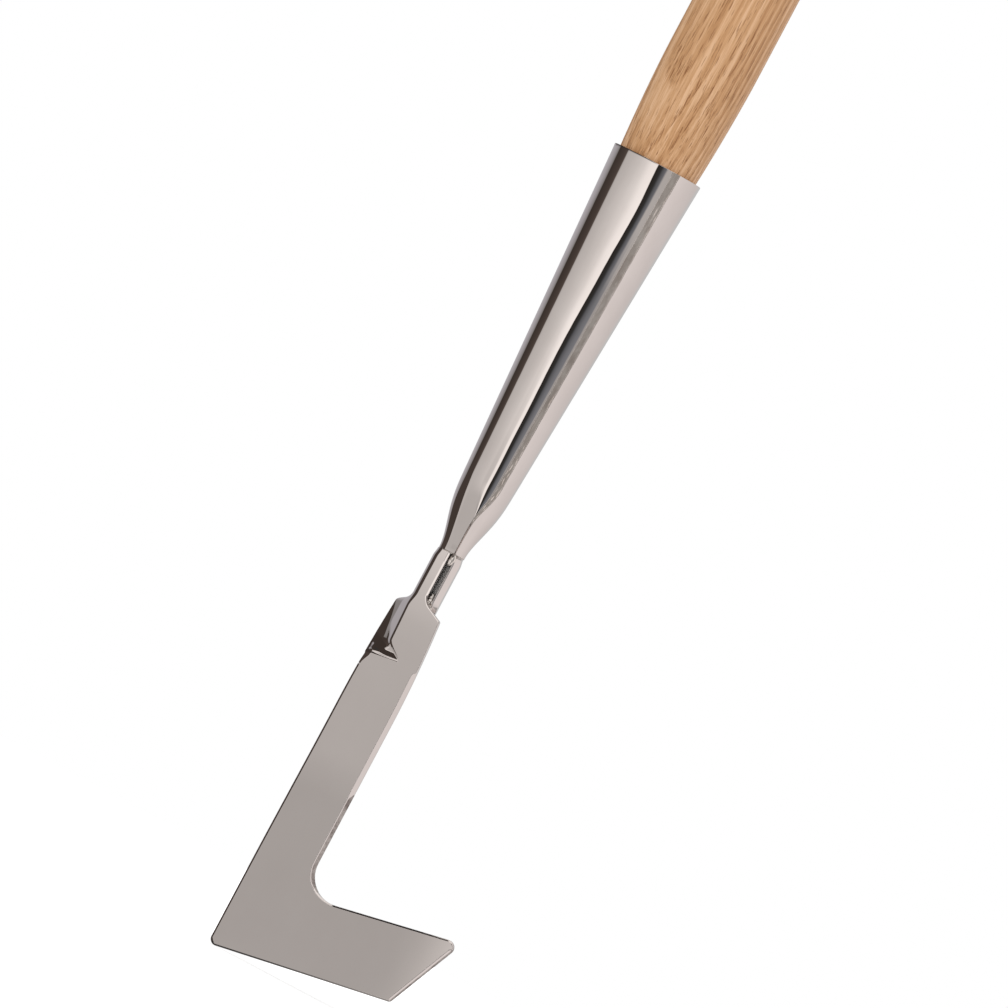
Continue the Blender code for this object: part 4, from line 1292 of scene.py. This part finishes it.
DARK_TOP_EDGES = (-3.10, -2.95, -0.3, 0.1)
DARK_LEVEL = 0.06

# The end cards: distance to the right of the axis and brightness
TOP_CARD = ((-0.26, 0.05), (-0.20, 1.0), (0.30, 1.2))
FOOT_CARD = ((-0.02, 0.05), (0.01, 0.10), (0.05, 0.40), (0.30, 0.5))

# The grey card low in front, which the flat blade mirrors: height and brightness
FRONT_CARD = ((-0.10, 0.69), (-0.02, 0.64), (0.002, 0.562), (0.062, 0.565), (0.071, 0.61), (0.077, 0.645),
              (0.107, 0.65), (0.123, 0.66), (0.131, 0.69), (0.135, 0.735), (0.147, 0.79), (0.158, 0.84))
FRONT_EDGES = [math.radians(degrees) for degrees in (-72.0, -60.0, -14.0, -8.0)]
FRONT_FADE = (0.13, 0.21)

# The even card at its left; the blade's face mirrors what stands at twice the view's azimuth
FACE_ANGLE = -2.0 * VIEW_AZIMUTH
FACE_EDGE = (FACE_ANGLE - math.radians(12.0), FACE_ANGLE - math.radians(3.0))
SIDE_LEVEL = 0.66
SIDE_FADE = (0.08, 0.19)

# A soft light high on the right, which the socket mirrors near its mouth
GLOW_FADE = (0.205, 0.245)
GLOW_EDGES = [math.radians(degrees) for degrees in (22.0, 28.0, 42.0, 48.0)]
GLOW_LEVEL = 0.62

# The light from all round, and the floor with the distances over which it turns white
WORLD_LEVEL = 0.62
FLOOR_LIFT = 0.47
FLOOR_FADE = (0.15, 1.0)
FLOOR_HALF_WIDTH = 12.0
FLOOR_GAP = 0.1 * MM
FLOOR_TONES = ((0.3, (0.70, 0.70, 0.70)), (0.7, (0.73, 0.73, 0.73)))

# Lamps: name, place to the right of, before and above the light's centre, size, power and colour
LIGHT_CENTRE = 0.25
LAMPS = (
    ("key", (-1.3, 1.6, 1.1), 1.4, 17.0, (1.0, 0.98, 0.96)),
    ("fill", (1.6, 1.2, 0.5), 1.6, 9.0, (1.0, 0.97, 0.97)),
)


def add_camera():
    back = VIEW_TOWARDS * math.cos(VIEW_ELEVATION) + Vector((0.0, 0.0, math.sin(VIEW_ELEVATION)))
    upward = back.cross(VIEW_RIGHT)
    centre = AXIS + VIEW_RIGHT * CENTRE_RIGHT_OF_AXIS
    centre.z = SOCKET_HIGH.z - CENTRE_BELOW_MOUTH
    distance = FRAME_WIDTH * VIEW_LENS / SENSOR
    screen_right = VIEW_RIGHT * math.cos(VIEW_ROLL) + upward * math.sin(VIEW_ROLL)
    screen_up = upward * math.cos(VIEW_ROLL) - VIEW_RIGHT * math.sin(VIEW_ROLL)
    data = bpy.data.cameras.new("photo_view")
    data.type = 'PERSP'
    data.lens = VIEW_LENS
    data.sensor_width = SENSOR
    data.clip_start = 0.05
    data.clip_end = 50.0
    camera = bpy.data.objects.new("photo_view", data)
    bpy.context.scene.collection.objects.link(camera)
    camera.matrix_world = Matrix.Translation(centre + back * distance) @ Matrix(
        (screen_right, screen_up, back)).transposed().to_4x4()
    bpy.context.scene.camera = camera


def add_world():
    """White to the camera and in mirrors, and a soft even light on everything else."""
    world = bpy.data.worlds.new("white_room")
    bpy.context.scene.world = world
    world.use_nodes = True
    tree = world.node_tree
    background = tree.nodes["Background"]
    path = add_node(tree, "LightPath", {})
    seen = maths(tree, 'MAXIMUM', path.outputs["Is Camera Ray"],
                 maths(tree, 'MAXIMUM', path.outputs["Is Glossy Ray"], path.outputs["Is Transmission Ray"]))
    background.inputs["Color"].default_value = (1.0, 1.0, 1.0, 1.0)
    tree.links.new(map_range(tree, seen, 0.0, 1.0, WORLD_LEVEL, 1.0), background.inputs["Strength"])


def plane(name, half, place):
    grid = bmesh.new()
    bmesh.ops.create_grid(grid, x_segments=1, y_segments=1, size=half)
    piece = mesh_object(name, grid)
    piece.location = place
    return piece


def add_floor():
    """A pale floor that keeps the shadow; what the camera sees of it is lifted to white."""
    floor = plane("floor", FLOOR_HALF_WIDTH, (0.0, 0.0, CAD_BOX[0].z - FLOOR_GAP))
    material, tree, shader = new_material("pale_floor")
    speckle = noise_at(tree, (30.0, 30.0, 30.0), 3.0)
    path = add_node(tree, "LightPath", {})
    away = add_node(tree, "VectorMath", {0: scaled_place(tree, (1.0, 1.0, 0.0))}, operation='LENGTH')
    lift = map_range(tree, away.outputs["Value"], *FLOOR_FADE, FLOOR_LIFT, 1.0, True)
    fill(tree, shader, {
        "Base Color": ramp(tree, speckle, FLOOR_TONES),
        "Roughness": 0.9,
        "Specular IOR Level": 0.0,
        "Emission Color": (1.0, 1.0, 1.0, 1.0),
        "Emission Strength": maths(tree, 'MULTIPLY', path.outputs["Is Camera Ray"], lift)})
    floor.data.materials.append(material)
    floor.visible_glossy = False


def add_lamp(name, place, target, size, power, colour):
    data = bpy.data.lights.new(name, 'AREA')
    data.shape = 'DISK'
    data.size = size
    data.energy = power
    data.color = colour
    lamp = bpy.data.objects.new(name, data)
    lamp.location = place
    lamp.rotation_euler = (Vector(target) - Vector(place)).to_track_quat('-Z', 'Y').to_euler()
    lamp.visible_glossy = False
    bpy.context.scene.collection.objects.link(lamp)


def add_card(name, grid):
    """Makes a glowing card that only mirrors see, and gives its shader tree and colour socket."""
    piece = mesh_object(name, grid)
    for ray in ("camera", "diffuse", "transmission", "volume_scatter", "shadow"):
        setattr(piece, "visible_" + ray, False)
    material, tree, shader = new_material(name)
    tree.nodes.remove(shader)
    emission = add_node(tree, "Emission", {"Strength": CARD_LEVEL})
    tree.links.new(emission.outputs[0], tree.nodes["Material Output"].inputs["Surface"])
    piece.data.materials.append(material)
    return tree, emission.inputs["Color"]


def level(value, tint):
    return tuple(value * channel / CARD_LEVEL for channel in tint)


def view_angle(tree, place):
    """The angle round the axis from the photograph's view towards its right."""
    sideways = add_node(tree, "VectorMath", {0: place, 1: tuple(VIEW_RIGHT)}, operation='DOT_PRODUCT')
    towards = add_node(tree, "VectorMath", {0: place, 1: tuple(VIEW_TOWARDS)}, operation='DOT_PRODUCT')
    return maths(tree, 'ARCTAN2', sideways.outputs["Value"], towards.outputs["Value"])


def window(tree, value, edges):
    """1 between two smooth edges and 0 outside them, given where each of them starts and ends."""
    return maths(tree, 'MULTIPLY', fade_in(tree, value, *edges[:2]), fade_out(tree, value, *edges[2:]))


def add_ring():
    """The ring of soft cards and dark gaps round the tool, with the grey card low in front."""
    grid = bmesh.new()
    bmesh.ops.create_cone(grid, cap_ends=False, segments=180, radius1=RING_RADIUS, radius2=RING_RADIUS,
                          depth=RING_TOP - RING_FOOT)
    bmesh.ops.translate(grid, vec=(AXIS.x, AXIS.y, (RING_TOP + RING_FOOT) / 2.0), verts=grid.verts)
    for face in grid.faces:
        face.smooth = True
    tree, socket = add_card("studio_ring", grid)
    around = scaled_place(tree, (1.0, 1.0, 1.0))
    angle = view_angle(tree, around)
    height = add_node(tree, "SeparateXYZ", {0: around}).outputs[2]
    cards = ramp(tree, map_range(tree, angle, -math.pi, math.pi, 0.0, 1.0),
                 [((degrees + 180.0) / 360.0, level(value, tint)) for degrees, value, tint in STUDIO_CARDS])
    front_low, front_high = FRONT_CARD[0][0], FRONT_CARD[-1][0]
    grey = ramp(tree, map_range(tree, height, front_low, front_high, 0.0, 1.0),
                [((place - front_low) / (front_high - front_low), level(value, WARM))
                 for place, value in FRONT_CARD])
    side = mix_colours(tree, fade_in(tree, height, *SIDE_FADE), level(SIDE_LEVEL, WARM), cards)
    grey = mix_colours(tree, fade_out(tree, angle, *FACE_EDGE), grey, side)
    in_front = maths(tree, 'MULTIPLY', window(tree, angle, FRONT_EDGES), fade_out(tree, height, *FRONT_FADE))
    lit = mix_colours(tree, in_front, cards, grey)
    glow = maths(tree, 'MULTIPLY', fade_in(tree, height, *GLOW_FADE), window(tree, angle, GLOW_EDGES))
    lit = mix_colours(tree, glow, lit, level(GLOW_LEVEL, WARM))
    above = maths(tree, 'MULTIPLY', fade_in(tree, height, *DARK_TOP_FADE),
                  window(tree, angle, DARK_TOP_EDGES))
    tree.links.new(mix_colours(tree, above, lit, level(DARK_LEVEL, BROWN)), socket)


def add_end_card(name, height, stops):
    """A card across the ring's top or foot, graded from the tool's left to its right."""
    grid = bmesh.new()
    bmesh.ops.create_circle(grid, cap_ends=True, segments=90, radius=RING_RADIUS)
    bmesh.ops.translate(grid, vec=(AXIS.x, AXIS.y, height), verts=grid.verts)
    tree, socket = add_card(name, grid)
    across = add_node(tree, "SeparateXYZ", {0: scaled_place(tree, (1.0, 1.0, 1.0))}).outputs[0]
    share = map_range(tree, across, -RING_RADIUS, RING_RADIUS, 0.0, 1.0)
    places = [((x / RING_RADIUS + 1.0) / 2.0, level(value, WARM)) for x, value in stops]
    tree.links.new(ramp(tree, share, places), socket)


def build_studio():
    add_camera()
    add_world()
    add_floor()
    add_ring()
    add_end_card("top_card", RING_TOP, TOP_CARD)
    add_end_card("foot_card", RING_FOOT, FOOT_CARD)
    centre = AXIS + Vector((0.0, 0.0, LIGHT_CENTRE))
    for name, (right, before, above), size, power, colour in LAMPS:
        place = centre + VIEW_RIGHT * right + VIEW_TOWARDS * before + Vector((0.0, 0.0, above))
        add_lamp(name, place, centre, size, power, colour)


def main():
    scene = bpy.context.scene
    scene.view_settings.view_transform = 'Standard'
    build_studio()
    steel = polished_steel("mirror_steel", 0.2 * MM, 0.6)
    blade_steel = polished_steel("mirror_sheet", 0.006 * MM, 0.25)
    # The bead material, used on the weld lumps, carries painted light: its tone is raised past steel's to
    # offset the slot's shade
    cut_edge, inside, weld, bead, screw = [rough_steel(name, *look)
                                           for name, look in ROUGH_STEELS.items()]
    build_blade(blade_steel, cut_edge, inside)
    build_socket(steel, cut_edge)
    build_seam(weld)
    build_neck(weld, bead)
    build_slot_bead(bead)
    build_screw(screw)
    build_shaft(oiled_ash("oiled_ash"))


main()
